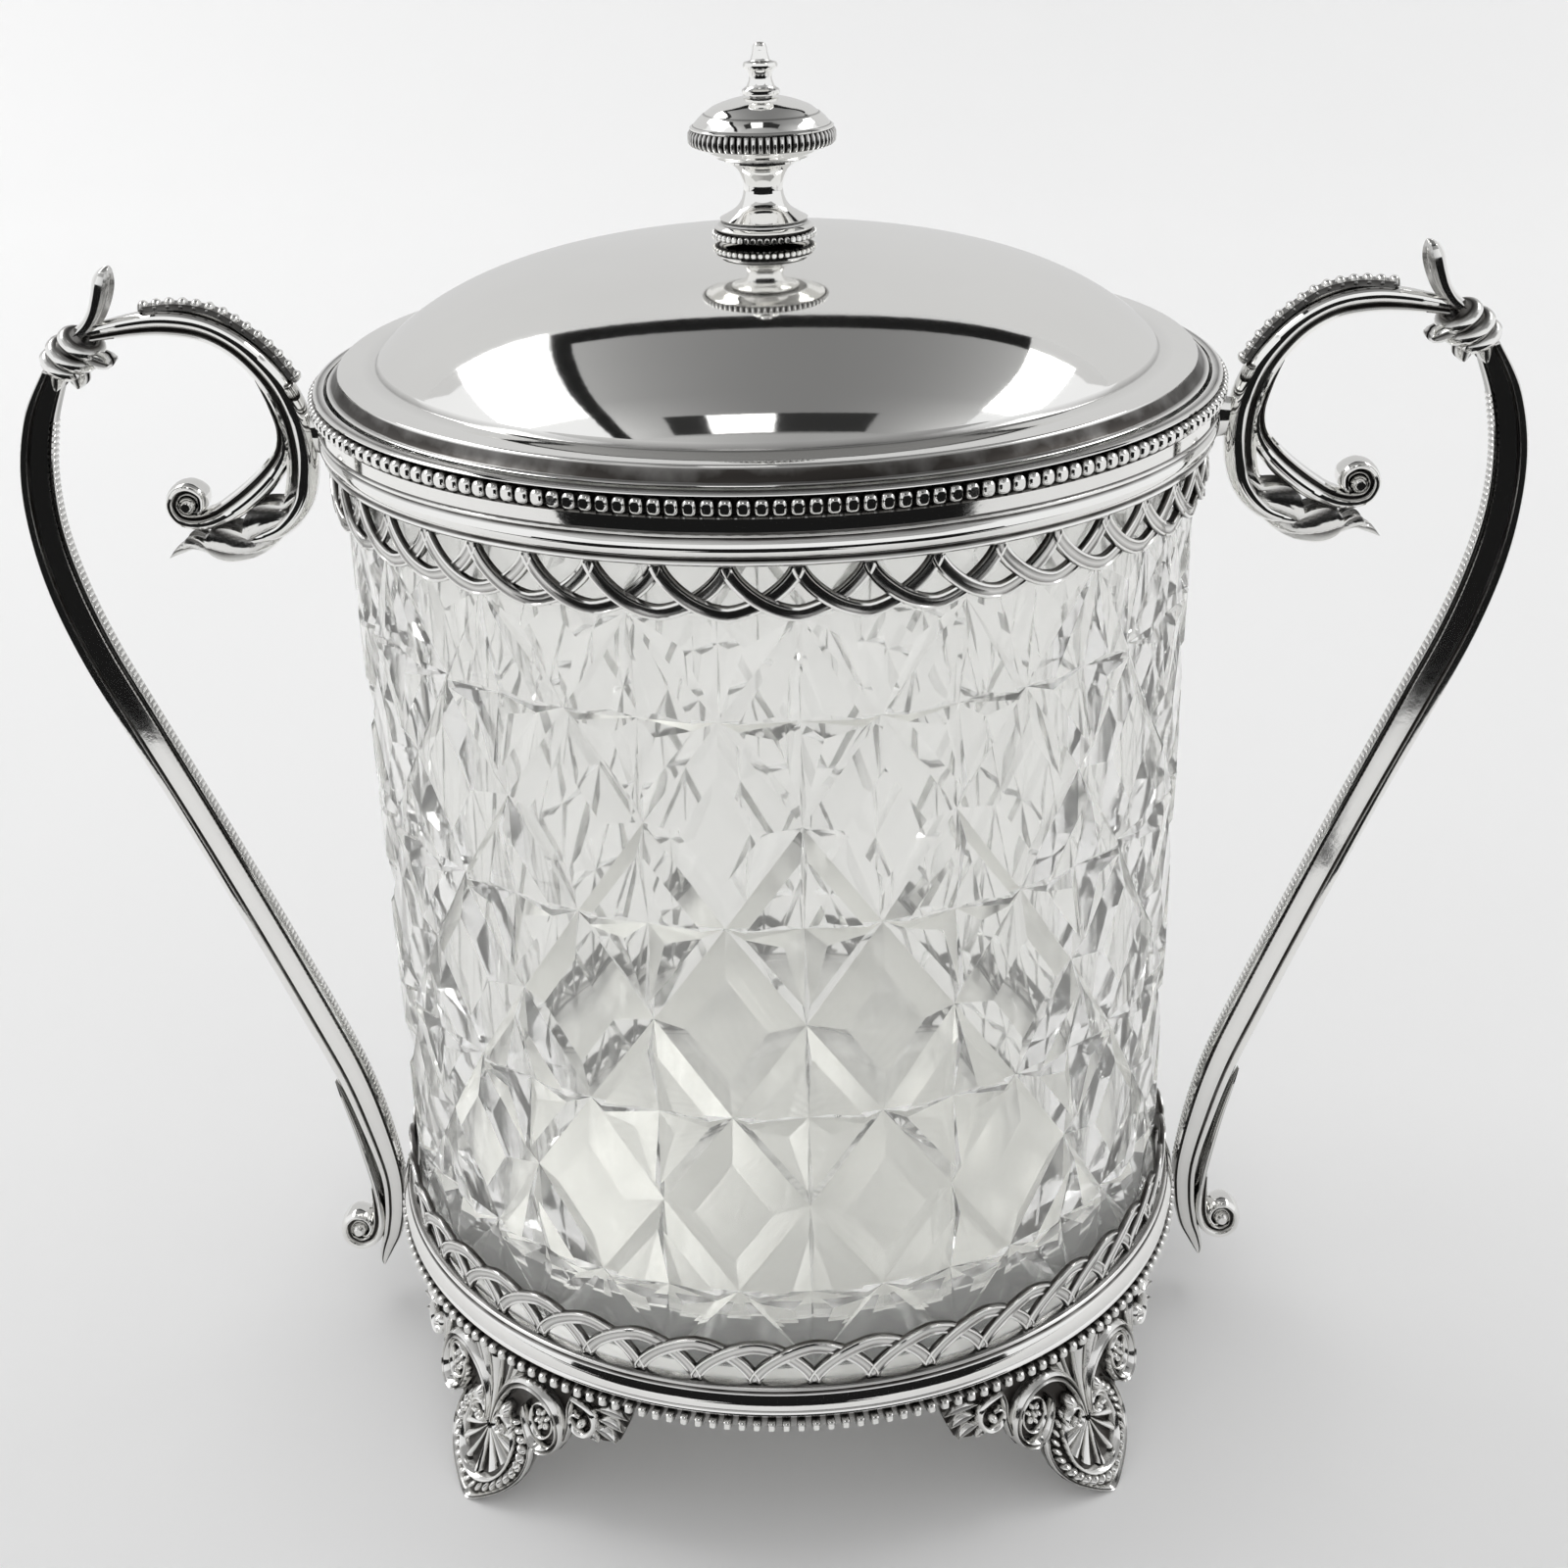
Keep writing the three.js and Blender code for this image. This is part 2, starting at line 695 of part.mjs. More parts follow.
// Turns a place of the handle, given in shares, into [x, z]; side is -1 for the left-hand handle
function handlePlace(across, up, side) {
  return [side * (beadCircleRadius + handleWidth * across), knotTop * up];
}

// Gives the stations their real places and sizes, and mirrors them for the left-hand handle
function sized(stations, width, depth, side) {
  return stations.map(([across, up, w, d]) => {
    const [x, z] = handlePlace(across, up, side);
    return [x, z, (w * width) / 2, (d * depth) / 2];
  });
}

function sweptPiece(stations, width, depth, side, section, steps) {
  const shares = side > 0 ? section : section.map(([a, d]) => [-a, d]).reverse();
  return swept(sized(stations, width, depth, side), shares, steps);
}

// The scroll strap, with the solder pad that holds it to the top band
function handleScroll(side) {
  const strap = sweptPiece(scrollStationShares, scrollWidth, scrollDepth, side, strapSection, 26);
  const [middle, low] = handlePlace(scrollStationShares[8][0], solderShares.low, 1);
  const high = handlePlace(0, solderShares.high, 1)[1];
  const near = beadCircleRadius + seatGap;
  const pad = new THREE.BoxGeometry(middle - near, scrollDepth * 0.6, high - low);
  pad.translate((side * (middle + near)) / 2, 0, (high + low) / 2);
  return fromSolid(toSolid(strap).add(toSolid(pad)));
}

// A row of square beads standing on one thin strip
function handleBeading(side) {
  const steps = 2 * handleBeads - 1;
  return sweptPiece(beadingStationShares, handleBeadHeight, handleBeadDepth, side, squareSection, steps);
}

// The knot: a barrel of three wraps, turned about an axis along the handle
function handleKnot(side) {
  const wraps = [[0.7, -1], [0.97, -0.62], [0.84, -0.33], [1, 0], [0.84, 0.33], [0.97, 0.62], [0.7, 1]];
  const half = knotLength / 2;
  const geometry = revolved([
    [0, -half],
    ...wraps.map(([r, z]) => [knotRadius * r, half * z]),
    [0, half],
  ], knotSides);
  geometry.rotateY(-side * THREE.MathUtils.degToRad(knotAngle));
  const [x, z] = handlePlace(...knotPlaceShares, side);
  geometry.translate(x, 0, z);
  return geometry;
}

// One cast foot: a plate curved to the ring, kicked out at its toe, with a raised cartouche and two bosses.
// The lower edge of the plate, from the toe outwards: shares of the wing's reach and of the foot's height
const footEdgeShares = [
  [0, 0], [0.07, 0], [0.16, 0.17], [0.28, 0.38], [0.32, 0.6], [0.5, 0.66], [0.72, 0.72], [1, 0.95],
];
const cartoucheShares = [
  [0, 0.02], [0.5, 0.23], [0.88, 0.46], [1, 0.74], [0.66, 1], [0, 0.9],
];

// Places a point of the flat foot: u along the ring, v above the table, w out from the plate's back
function footPoint(u, v, w) {
  const down = Math.max(0, 1 - v / footHeight);
  const radius = beadCircleRadius - footInset + footKickWidth * down ** footKickPower + w;
  const turn = u / beadCircleRadius;
  return [radius * Math.cos(turn), radius * Math.sin(turn), v];
}

function footPlate() {
  const half = footEdgeShares.map(([u, v]) => [u * wingLength, v * footHeight]);
  const edge = [...half.slice(1).reverse().map(([u, v]) => [-u, v]), ...half];
  const rowShares = [0, 0.4, 1];
  const corners = [];
  const triangles = [];
  const layer = (w) => {
    const first = corners.length;
    edge.forEach(([u, bottom]) => {
      rowShares.forEach((share) => corners.push(footPoint(u, bottom + (footHeight - bottom) * share, w)));
    });
    return first;
  };
  const back = layer(0);
  const front = layer(footPlateThickness);
  const rows = rowShares.length;
  const quad = (a, b, c, d) => triangles.push([a, b, c], [a, c, d]);
  for (let i = 0; i < edge.length - 1; i += 1) {
    for (let j = 0; j < rows - 1; j += 1) {
      const [p, q, r, s] = [i * rows + j, (i + 1) * rows + j, (i + 1) * rows + j + 1, i * rows + j + 1];
      quad(front + p, front + q, front + r, front + s);
      quad(back + s, back + r, back + q, back + p);
    }
    const [bottomHere, bottomNext] = [i * rows, (i + 1) * rows];
    quad(back + bottomHere, back + bottomNext, front + bottomNext, front + bottomHere);
    const [topHere, topNext] = [i * rows + rows - 1, (i + 1) * rows + rows - 1];
    quad(front + topHere, front + topNext, back + topNext, back + topHere);
  }
  const last = (edge.length - 1) * rows;
  for (let j = 0; j < rows - 1; j += 1) {
    quad(back + j, front + j, front + j + 1, back + j + 1);
    quad(front + last + j, back + last + j, back + last + j + 1, front + last + j + 1);
  }
  return closedGeometry(corners, triangles);
}

// A boss on the foot: rings of points about a middle, each [share of the outline, height above the plate]
function footBoss(outline, middle, levels) {
  const corners = [];
  const triangles = [];
  const count = outline.length;
  const root = footPlateThickness / 2;
  const rings = [[1, root], ...levels];
  rings.forEach(([share, w]) => {
    outline.forEach(([u, v]) => corners.push(footPoint(middle[0] + u * share, middle[1] + v * share, w)));
  });
  const bottom = corners.length;
  corners.push(footPoint(middle[0], middle[1], root));
  const top = corners.length;
  corners.push(footPoint(middle[0], middle[1], rings[rings.length - 1][1]));
  for (let i = 0; i < count; i += 1) {
    const j = (i + 1) % count;
    for (let level = 0; level < rings.length - 1; level += 1) {
      const [a, b] = [level * count, (level + 1) * count];
      triangles.push([a + i, a + j, b + j], [a + i, b + j, b + i]);
    }
    triangles.push([i, bottom, j]);
    const rim = (rings.length - 1) * count;
    triangles.push([rim + i, rim + j, top]);
  }
  return closedGeometry(corners, triangles);
}

function foot() {
  const middle = cartoucheHeight * 0.6;
  const right = cartoucheShares.map(([u, v]) => [u * cartoucheHalfWidth, v * cartoucheHeight - middle]);
  const left = right.slice(1, -1).reverse().map(([u, v]) => [-u, v]);
  const cartouche = footBoss([...right, ...left], [0, middle], [
    [0.94, footPlateThickness + cartoucheRelief],
    [0.62, footPlateThickness + cartoucheRelief * 0.3],
  ]);
  const bossSides = 6;
  const bossOutline = [];
  for (let i = 0; i < bossSides; i += 1) {
    const turn = (2 * Math.PI * i) / bossSides;
    bossOutline.push([wingLength * 0.13 * Math.cos(turn), footHeight * 0.17 * Math.sin(turn)]);
  }
  const bossLevels = [[0.85, footPlateThickness + cartoucheRelief * 0.7]];
  let solid = toSolid(footPlate()).add(toSolid(cartouche));
  [-1, 1].forEach((side) => {
    const boss = footBoss(bossOutline, [side * wingLength * 0.4, footHeight * 0.79], bossLevels);
    solid = solid.add(toSolid(boss));
  });
  return fromSolid(solid);
}

// The whole jar, from the table up
addPiece('base_band', baseBand(), silver);
addPiece('base_plate', basePlate(), silver);
addPiece('base_bead_ring', wireRing(
  beadCircleRadius + seatGap, beadWireRadius, beadRingHeight(false), frameSides, 6,
), silver);
addPiece('lower_gallery', gallery(baseBandTop + seatGap, 1), silver);
addPiece('glass_liner', glassLiner(), cutGlass);
addPiece('upper_gallery', gallery(topBandBottom - seatGap, -1), silver);
addPiece('top_band', topBand(), silver);
addPiece('top_bead_ring', wireRing(
  beadCircleRadius, beadWireRadius, beadRingHeight(true), frameSides, 6,
), silver);
addPiece('lid_dome', lidDome(), silver);
addPiece('lid_bezel', lidBezel(), silver);
addPiece('finial_collar', finialCollar(), silver);
addPiece('finial_bead_ring', finialBeads(), silver);
addPiece('finial_waist', finialWaist(), silver);
addPiece('finial_bun', finialBun(), silver);
addPiece('finial_spire', finialSpire(), silver);
addPiece('finial_stud', finialStud(), oldSilver);
addPiece('finial_washer', finialWasher(), oldSilver);
addPiece('finial_nut', finialNut(), oldSilver);

const footPlaces = [
  ['foot_front_right', -footAngle],
  ['foot_front_left', footAngle - 180],
  ['foot_back_right', footAngle],
  ['foot_back_left', 180 - footAngle],
];
footPlaces.forEach(([name, angle]) => {
  const piece = addPiece(name, foot(), oldSilver);
  piece.rotation.z = THREE.MathUtils.degToRad(angle);
});

[['left', -1], ['right', 1]].forEach(([word, side]) => {
  const add = (piece, geometry) => addPiece(`handle_${word}_${piece}`, geometry, silver);
  const leaf = (stations, thickness) => {
    return sweptPiece(stations, thickness, leafWidth, side, leafSection, 6);
  };
  add('stem', sweptPiece(stemStationShares, stemWidth, stemDepth, side, groovedSection, 24));
  add('scroll', handleScroll(side));
  add('beading', handleBeading(side));
  add('knot', handleKnot(side));
  add('thumb_leaf', leaf(thumbLeafStationShares, leafThickness));
  add('scroll_leaf', leaf(scrollLeafStationShares, 1.5 * leafThickness));
  add('lower_leaf', leaf(lowerLeafStationShares, leafThickness));
});

export default jar;
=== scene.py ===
"""Biscuit jar of cut glass in a silver-plated frame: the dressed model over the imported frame.

Sizes in the classes are millimetres, apart from the finishes' bump depths, which are metres. Meshes are
written in metres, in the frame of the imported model.
"""

import logging
import math
from collections.abc import Callable, Sequence
from dataclasses import dataclass
from enum import Enum

import bmesh
import bpy
from mathutils import Matrix, Vector

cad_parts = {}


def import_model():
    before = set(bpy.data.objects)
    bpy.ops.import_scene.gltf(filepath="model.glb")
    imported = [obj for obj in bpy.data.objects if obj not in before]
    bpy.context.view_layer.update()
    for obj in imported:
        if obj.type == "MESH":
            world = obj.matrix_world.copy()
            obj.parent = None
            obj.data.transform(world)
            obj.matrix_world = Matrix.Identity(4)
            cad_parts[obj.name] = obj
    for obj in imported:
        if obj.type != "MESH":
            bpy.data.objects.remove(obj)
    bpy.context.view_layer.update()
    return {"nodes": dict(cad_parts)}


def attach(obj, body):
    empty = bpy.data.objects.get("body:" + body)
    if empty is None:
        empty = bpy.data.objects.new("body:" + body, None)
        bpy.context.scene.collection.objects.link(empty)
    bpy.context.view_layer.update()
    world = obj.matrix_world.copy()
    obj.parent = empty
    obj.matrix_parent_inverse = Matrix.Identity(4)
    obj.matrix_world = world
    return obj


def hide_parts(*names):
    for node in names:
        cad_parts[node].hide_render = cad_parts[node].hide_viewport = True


LOG = logging.getLogger("biscuit_jar")
MM = 0.001
WELD = 1e-6
FINE_WELD = 1e-7
Pair = tuple[float, float]
Point = tuple[float, float, float]
Placed = tuple[Point, float]
Place = Callable[[float, float, float], Point]
Shade = Callable[["Value", "Value"], "Value"]


class Body(Enum):
    """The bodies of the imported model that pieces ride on."""

    FRAME = "frame"
    LINER = "liner"
    LID = "lid"


class Slot(Enum):
    """The material slots of the record."""

    SILVER = "silver_plate"
    GLASS = "cut_glass"


class Facing(Enum):
    """Which way the tips of a gallery point."""

    UP = 1
    DOWN = -1


# Shader and tree writing


class Value:
    """A number socket that takes part in written-out arithmetic."""

    def __init__(self, graph: "Graph", socket: bpy.types.NodeSocket) -> None:
        """Keeps the socket and the graph that it belongs to."""
        self.graph = graph
        self.socket = socket

    def _math(self, operation: str, first: object, second: object = 0.0) -> "Value":
        """Adds one Math node.

        Args:
            operation: the Math node's operation.
            first: the first value or number.
            second: the second value or number.

        Returns:
            The node's result.
        """
        node = self.graph.add(self.graph.math_node, {"operation": operation}, {0: first, 1: second})
        return Value(self.graph, node.outputs[0])

    def __add__(self, other: object) -> "Value":
        """Sum."""
        return self._math("ADD", self, other)

    def __radd__(self, other: object) -> "Value":
        """Sum with a number on the left."""
        return self._math("ADD", other, self)

    def __sub__(self, other: object) -> "Value":
        """Difference."""
        return self._math("SUBTRACT", self, other)

    def __rsub__(self, other: object) -> "Value":
        """Difference with a number on the left."""
        return self._math("SUBTRACT", other, self)

    def __mul__(self, other: object) -> "Value":
        """Product."""
        return self._math("MULTIPLY", self, other)

    def __rmul__(self, other: object) -> "Value":
        """Product with a number on the left."""
        return self._math("MULTIPLY", other, self)

    def __truediv__(self, other: object) -> "Value":
        """Quotient."""
        return self._math("DIVIDE", self, other)

    def limited(self) -> "Value":
        """Keeps the value between 0 and 1."""
        return self._math("MINIMUM", self._math("MAXIMUM", self, 0.0), 1.0)


class Graph:
    """Makes nodes in one material, world or Geometry Nodes tree."""

    math_node = "ShaderNodeMath"

    def __init__(self, tree: bpy.types.NodeTree) -> None:
        """Keeps the tree that the nodes go into."""
        self.tree = tree

    def add(self, kind: str, settings: dict | None = None, inputs: dict | None = None) -> bpy.types.Node:
        """Makes one node.

        Args:
            kind: the node's type.
            settings: its properties, set first.
            inputs: values, numbers or links by socket name or number.

        Returns:
            The node.
        """
        node = self.tree.nodes.new(kind)
        for name, value in (settings or {}).items():
            setattr(node, name, value)
        for key, value in (inputs or {}).items():
            socket = node.inputs[key]
            if isinstance(value, Value):
                self.tree.links.new(value.socket, socket)
            elif isinstance(value, bpy.types.NodeSocket):
                self.tree.links.new(value, socket)
            else:
                socket.default_value = value
        return node

    def value(self, node: bpy.types.Node, output: int | str = 0) -> Value:
        """Wraps an output of a node."""
        return Value(self, node.outputs[output])

    def noise(self, place: bpy.types.NodeSocket, scale: float, detail: float = 3.0) -> Value:
        """Adds a noise pattern and returns its height, 0 to 1."""
        node = self.add("ShaderNodeTexNoise", None, {"Vector": place, "Scale": scale, "Detail": detail})
        return self.value(node, "Fac")

    def mixed(self, factor: object, first: object, second: object) -> bpy.types.NodeSocket:
        """Mixes two colours.

        Args:
            factor: 0 for the first colour, 1 for the second.
            first: a colour or a link.
            second: a colour or a link.

        Returns:
            The mixed colour's socket.
        """
        node = self.add("ShaderNodeMix", {"data_type": "RGBA"}, {0: factor, 6: first, 7: second})
        return node.outputs[2]


def new_material(name: str) -> tuple[bpy.types.Material, Graph]:
    """Makes an empty node material.

    Args:
        name: the material's name.

    Returns:
        The material and the graph of its tree.
    """
    material = bpy.data.materials.new(name)
    material.use_nodes = True
    material.node_tree.nodes.clear()
    return material, Graph(material.node_tree)


@dataclass(frozen=True)
class SilverFinish:
    """Silver plate: polished on what stands proud, with painted shade and tarnish darkening its recesses."""

    name: str
    plate: tuple[float, float, float, float] = (0.93, 0.925, 0.905, 1)
    # Near-black colour for the painted shade in recesses, and for tarnish.
    tarnish_and_shade: tuple[float, float, float, float] = (0.055, 0.05, 0.046, 1)
    shade_and_tarnish_strength: float = 1.0
    roughness: float = 0.05
    recess_roughness: float = 0.3
    cast_bump: float = 0.04
    cast_grain: float = 700.0
    cast_depth: float = 0.0001
    wave_bump: float = 0.1
    wave_scale: float = 45.0
    wave_depth: float = 0.0004
    cloud_scale: float = 160.0
    film_scale: float = 24.0
    film_edge: float = 0.42
    film_strength: float = 0.35

    def build(self) -> bpy.types.Material:
        """Builds the material, which reads the pieces' own recess attribute.

        Returns:
            The material.
        """
        material, graph = new_material(self.name)
        place = graph.add("ShaderNodeTexCoord").outputs["Object"]
        recess = graph.value(graph.add("ShaderNodeAttribute", {"attribute_name": "recess"}), "Fac")
        cloud = graph.noise(place, self.cloud_scale, detail=4.0)
        # Painted shade: the recess attribute darkens hollows, grooves, creases and gaps towards the
        # near-black colour, with tarnish in the hollows as part of it.
        painted_shade_and_tarnish = (recess * (0.7 + 0.6 * cloud) * self.shade_and_tarnish_strength).limited()
        film = graph.noise(place, self.film_scale, detail=5.0) - self.film_edge
        film = film.limited() * self.film_strength
        cover = (painted_shade_and_tarnish + film * 0.5).limited()
        colour = graph.mixed(cover, self.plate, self.tarnish_and_shade)
        fine = graph.noise(place, self.cast_grain)
        rough = (self.roughness + fine * 0.03 + film * 0.3 + painted_shade_and_tarnish * self.recess_roughness).limited()
        swell = graph.noise(place, self.wave_scale, detail=1.0)
        wave = graph.add(
            "ShaderNodeBump",
            None,
            {"Strength": self.wave_bump, "Distance": self.wave_depth, "Height": swell},
        )
        grain = graph.add(
            "ShaderNodeBump",
            None,
            {
                "Strength": self.cast_bump,
                "Distance": self.cast_depth,
                "Height": fine,
                "Normal": wave.outputs[0],
            },
        )
        shader = graph.add(
            "ShaderNodeBsdfPrincipled",
            None,
            {"Base Color": colour, "Metallic": 1.0, "Roughness": rough, "Normal": grain.outputs[0]},
        )
        graph.add("ShaderNodeOutputMaterial", None, {"Surface": shader.outputs[0]})
        return material


@dataclass(frozen=True)
class GlassFinish:
    """Clear lead glass with the faint drag lines of the polishing wheel."""

    name: str
    colour: tuple[float, float, float, float] = (0.99, 0.99, 0.975, 1)
    bend: float = 1.3
    clearness: float = 0.9
    haze: float = 0.026
    haze_spread: float = 0.03
    haze_scale: float = 90.0
    wheel_bump: float = 0.06
    wheel_depth: float = 0.0002
    wheel_scale: float = 220.0
    shadow_colour: tuple[float, float, float, float] = (0.93, 0.935, 0.935, 1)

    def build(self) -> bpy.types.Material:
        """Builds the material; rays towards lamps pass through it, as light does through real glass.

        Returns:
            The material.
        """
        material, graph = new_material(self.name)
        place = graph.add("ShaderNodeTexCoord").outputs["Object"]
        drag = graph.add("ShaderNodeMapping", None, {"Vector": place, "Scale": (1.0, 1.0, 0.35)})
        lines = graph.noise(drag.outputs[0], self.wheel_scale, detail=2.0)
        bump = graph.add(
            "ShaderNodeBump",
            None,
            {"Strength": self.wheel_bump, "Distance": self.wheel_depth, "Height": lines},
        )
        rough = graph.noise(place, self.haze_scale) * self.haze_spread + self.haze
        glass = graph.add(
            "ShaderNodeBsdfPrincipled",
            None,
            {
                "Base Color": self.colour,
                "Roughness": rough,
                "IOR": self.bend,
                "Transmission Weight": self.clearness,
                "Normal": bump.outputs[0],
            },
        )
        clear = graph.add("ShaderNodeBsdfTransparent", None, {"Color": self.shadow_colour})
        ray = graph.value(graph.add("ShaderNodeLightPath"), "Is Shadow Ray")
        both = graph.add("ShaderNodeMixShader", None, {0: ray, 1: glass.outputs[0], 2: clear.outputs[0]})
        graph.add("ShaderNodeOutputMaterial", None, {"Surface": both.outputs[0]})
        return material


# Mesh drawing


def through(points: Sequence[Sequence[float]], steps: int) -> list[tuple[float, ...]]:
    """Samples a smooth curve that passes through points of any number of columns.

    Args:
        points: the points, one row each.
        steps: how many spans between samples, over the whole curve.

    Returns:
        steps + 1 samples.
    """
    last = len(points) - 1
    samples = []
    for i in range(steps + 1):
        t = last * i / steps
        k = min(int(t), last - 1)
        s = t - k
        a, b, c, d = (points[min(max(k + j, 0), last)] for j in (-1, 0, 1, 2))
        samples.append(
            tuple(
                0.5
                * (2 * q + (r - p) * s + (2 * p - 5 * q + 4 * r - e) * s * s + (3 * q - p - 3 * r + e) * s**3)
                for p, q, r, e in zip(a, b, c, d)
            )
        )
    return samples


def normal_at(line: Sequence[Sequence[float]], i: int, closed: bool = False) -> Pair:
    """Finds the direction to the right of a line of places, at one of them.

    Args:
        line: the places; their first two columns count.
        i: the place's number.
        closed: whether the line runs back to its start.

    Returns:
        The direction, one unit long.
    """
    before, after = line[max(i - 1, 0)], line[min(i + 1, len(line) - 1)]
    if closed:
        before, after = line[i - 1], line[(i + 1) % len(line)]
    du, dv = after[0] - before[0], after[1] - before[1]
    size = math.hypot(du, dv) or 1.0
    return dv / size, -du / size


def tidy(mesh: bpy.types.Mesh, sharp: float) -> None:
    """Merges corners that meet, turns faces outwards and marks sharp edges.

    Args:
        mesh: the mesh.
        sharp: the angle, in degrees, past which an edge stays crisp.
    """
    work = bmesh.new()
    work.from_mesh(mesh)
    bmesh.ops.remove_doubles(work, verts=work.verts, dist=WELD)
    bmesh.ops.dissolve_degenerate(work, edges=work.edges, dist=FINE_WELD)
    bmesh.ops.recalc_face_normals(work, faces=work.faces)
    work.to_mesh(mesh)
    work.free()
    mesh.shade_smooth()
    mesh.set_sharp_from_angle(angle=math.radians(sharp))


class Sketch:
    """A mesh drawn in millimetres; each corner also says how deep in a recess it lies, which the silver
    finishes turn into painted shade.
    """

    def __init__(self) -> None:
        """Starts empty."""
        self.corners: list[Point] = []
        self.recess: list[float] = []
        self.faces: list[tuple[int, ...]] = []

    def corner(self, point: Sequence[float], recess: float = 0.0) -> int:
        """Adds a corner and returns its number."""
        self.corners.append(tuple(point))
        self.recess.append(recess)
        return len(self.corners) - 1

    def face(self, points: Sequence[Sequence[float]], recess: float = 0.0) -> None:
        """Adds a face with corners of its own, which are merged with their neighbours later."""
        self.faces.append(tuple(self.corner(p, recess) for p in points))

    def grid(self, rows: Sequence[Sequence[Placed]], closed_row: bool, closed_ends: bool = False) -> None:
        """Adds a net of faces over rows of corners.

        Args:
            rows: rows of equal length, each corner with its recess.
            closed_row: whether each row runs round to its own start.
            closed_ends: whether the last row joins the first.
        """
        numbers = [[self.corner(*placed) for placed in row] for row in rows]
        width = len(numbers[0])
        for i in range(len(numbers) if closed_ends else len(numbers) - 1):
            here, there = numbers[i], numbers[(i + 1) % len(numbers)]
            for j in range(width if closed_row else width - 1):
                k = (j + 1) % width
                self.faces.append((here[j], here[k], there[k], there[j]))

    def lid(self, row: Sequence[Placed]) -> None:
        """Closes a ring of corners with a fan about its middle."""
        middle = [sum(p[0][axis] for p in row) / len(row) for axis in range(3)]
        top = self.corner(middle, row[0][1])
        ring = [self.corner(*placed) for placed in row]
        for j, number in enumerate(ring):
            self.faces.append((number, ring[(j + 1) % len(ring)], top))

    def tube(self, rows: Sequence[Sequence[Placed]]) -> None:
        """Adds a net of faces over closed rows, and closes the first and the last of them."""
        self.grid(rows, closed_row=True)
        self.lid(rows[0])
        self.lid(rows[-1])

    def object(self, name: str, sharp: float = 35.0, closed: bool = True) -> bpy.types.Object:
        """Turns the drawing into an object in metres.

        Args:
            name: the object's name.
            sharp: the angle past which an edge stays crisp.
            closed: whether it is a closed shape, to be tidied now.

        Returns:
            The object, at the origin.
        """
        mesh = bpy.data.meshes.new(name)
        mesh.from_pydata([tuple(c * MM for c in p) for p in self.corners], [], self.faces)
        # The recess attribute is the mask that the silver finishes paint shade and tarnish by.
        layer = mesh.attributes.new("recess", "FLOAT", "POINT")
        layer.data.foreach_set("value", self.recess)
        if closed:
            tidy(mesh, sharp)
        made = bpy.data.objects.new(name, mesh)
        bpy.context.scene.collection.objects.link(made)
        return made


def lathe(sketch: Sketch, loop: Sequence[Sequence[float]], sides: int) -> None:
    """Turns a closed loop of [radius, height, recess] about the Z axis.

    Args:
        sketch: the drawing that it goes into.
        loop: the section, with the recess left out where it is 0.
        sides: faces round the turn.
    """
    rows = []
    for i in range(sides):
        turn = 2 * math.pi * i / sides
        cos, sin = math.cos(turn), math.sin(turn)
        rows.append([((p[0] * cos, p[0] * sin, p[1]), p[2] if len(p) > 2 else 0.0) for p in loop])
    sketch.grid(rows, closed_row=True, closed_ends=True)


def blob(
    sketch: Sketch,
    place: Place,
    middle: Pair,
    half: Pair,
    heights: Pair,
    turn: float = 0.0,
    sides: int = 10,
) -> None:
    """Adds a low rounded boss on a surface.

    Args:
        sketch: the drawing that it goes into.
        place: turns a place on the surface and a height into a point.
        middle: where it stands on the surface.
        half: its two half widths.
        heights: heights of its root and of its crown.
        turn: how far it is turned on the surface, in radians.
        sides: corners round it.
    """
    root, crown = heights
    levels = [(1.0, 0.0, 1.0), (1.0, 0.3, 0.6), (0.82, 0.72, 0.15), (0.45, 0.95, 0.0)]
    rows = []
    for share, rise, recess in levels:
        row = []
        for i in range(sides):
            angle = 2 * math.pi * i / sides
            x, y = half[0] * share * math.cos(angle), half[1] * share * math.sin(angle)
            u = middle[0] + x * math.cos(turn) - y * math.sin(turn)
            v = middle[1] + x * math.sin(turn) + y * math.cos(turn)
            row.append((place(u, v, root + (crown - root) * rise), recess))
        rows.append(row)
    sketch.tube(rows)


def level_ground(u: float, v: float, w: float) -> Point:
    """Places ornament on the level ground plane, for templates."""
    return (u, v, w)


def strip(
    sketch: Sketch,
    place: Place,
    path: Sequence[Sequence[float]],
    heights: Pair,
    closed: bool = False,
    groove: float = 0.0,
) -> None:
    """Adds a half-round bead along a path on a surface.

    Args:
        sketch: the drawing that it goes into.
        place: turns a place on the surface and a height into a point.
        path: [u, v, half width] rows.
        heights: heights of its root and of its crown.
        closed: whether the path runs back to its start.
        groove: how far a line down its middle sinks, as a share of its height.
    """
    root, crown = heights
    across = (-1.0, -0.97, -0.72, -0.38, 0.0, 0.38, 0.72, 0.97, 1.0)
    rows = []
    for i, (u, v, wide) in enumerate(path):
        nu, nv = normal_at(path, i, closed)
        row = []
        for s in across:
            rise = math.sqrt(max(0.0, 1 - s * s))
            sunk = groove if s == 0 else 0.0
            height = root if abs(s) == 1 else root + (crown - root) * (rise * 0.9 + 0.1) * (1 - sunk)
            recess = 1.0 if abs(s) == 1 else (0.9 if sunk else 0.25 * abs(s))
            row.append((place(u - nu * s * wide, v - nv * s * wide, height), recess))
        rows.append(row)
    sketch.grid(rows, closed_row=True, closed_ends=closed)
    if not closed:
        sketch.lid(rows[0])
        sketch.lid(rows[-1])


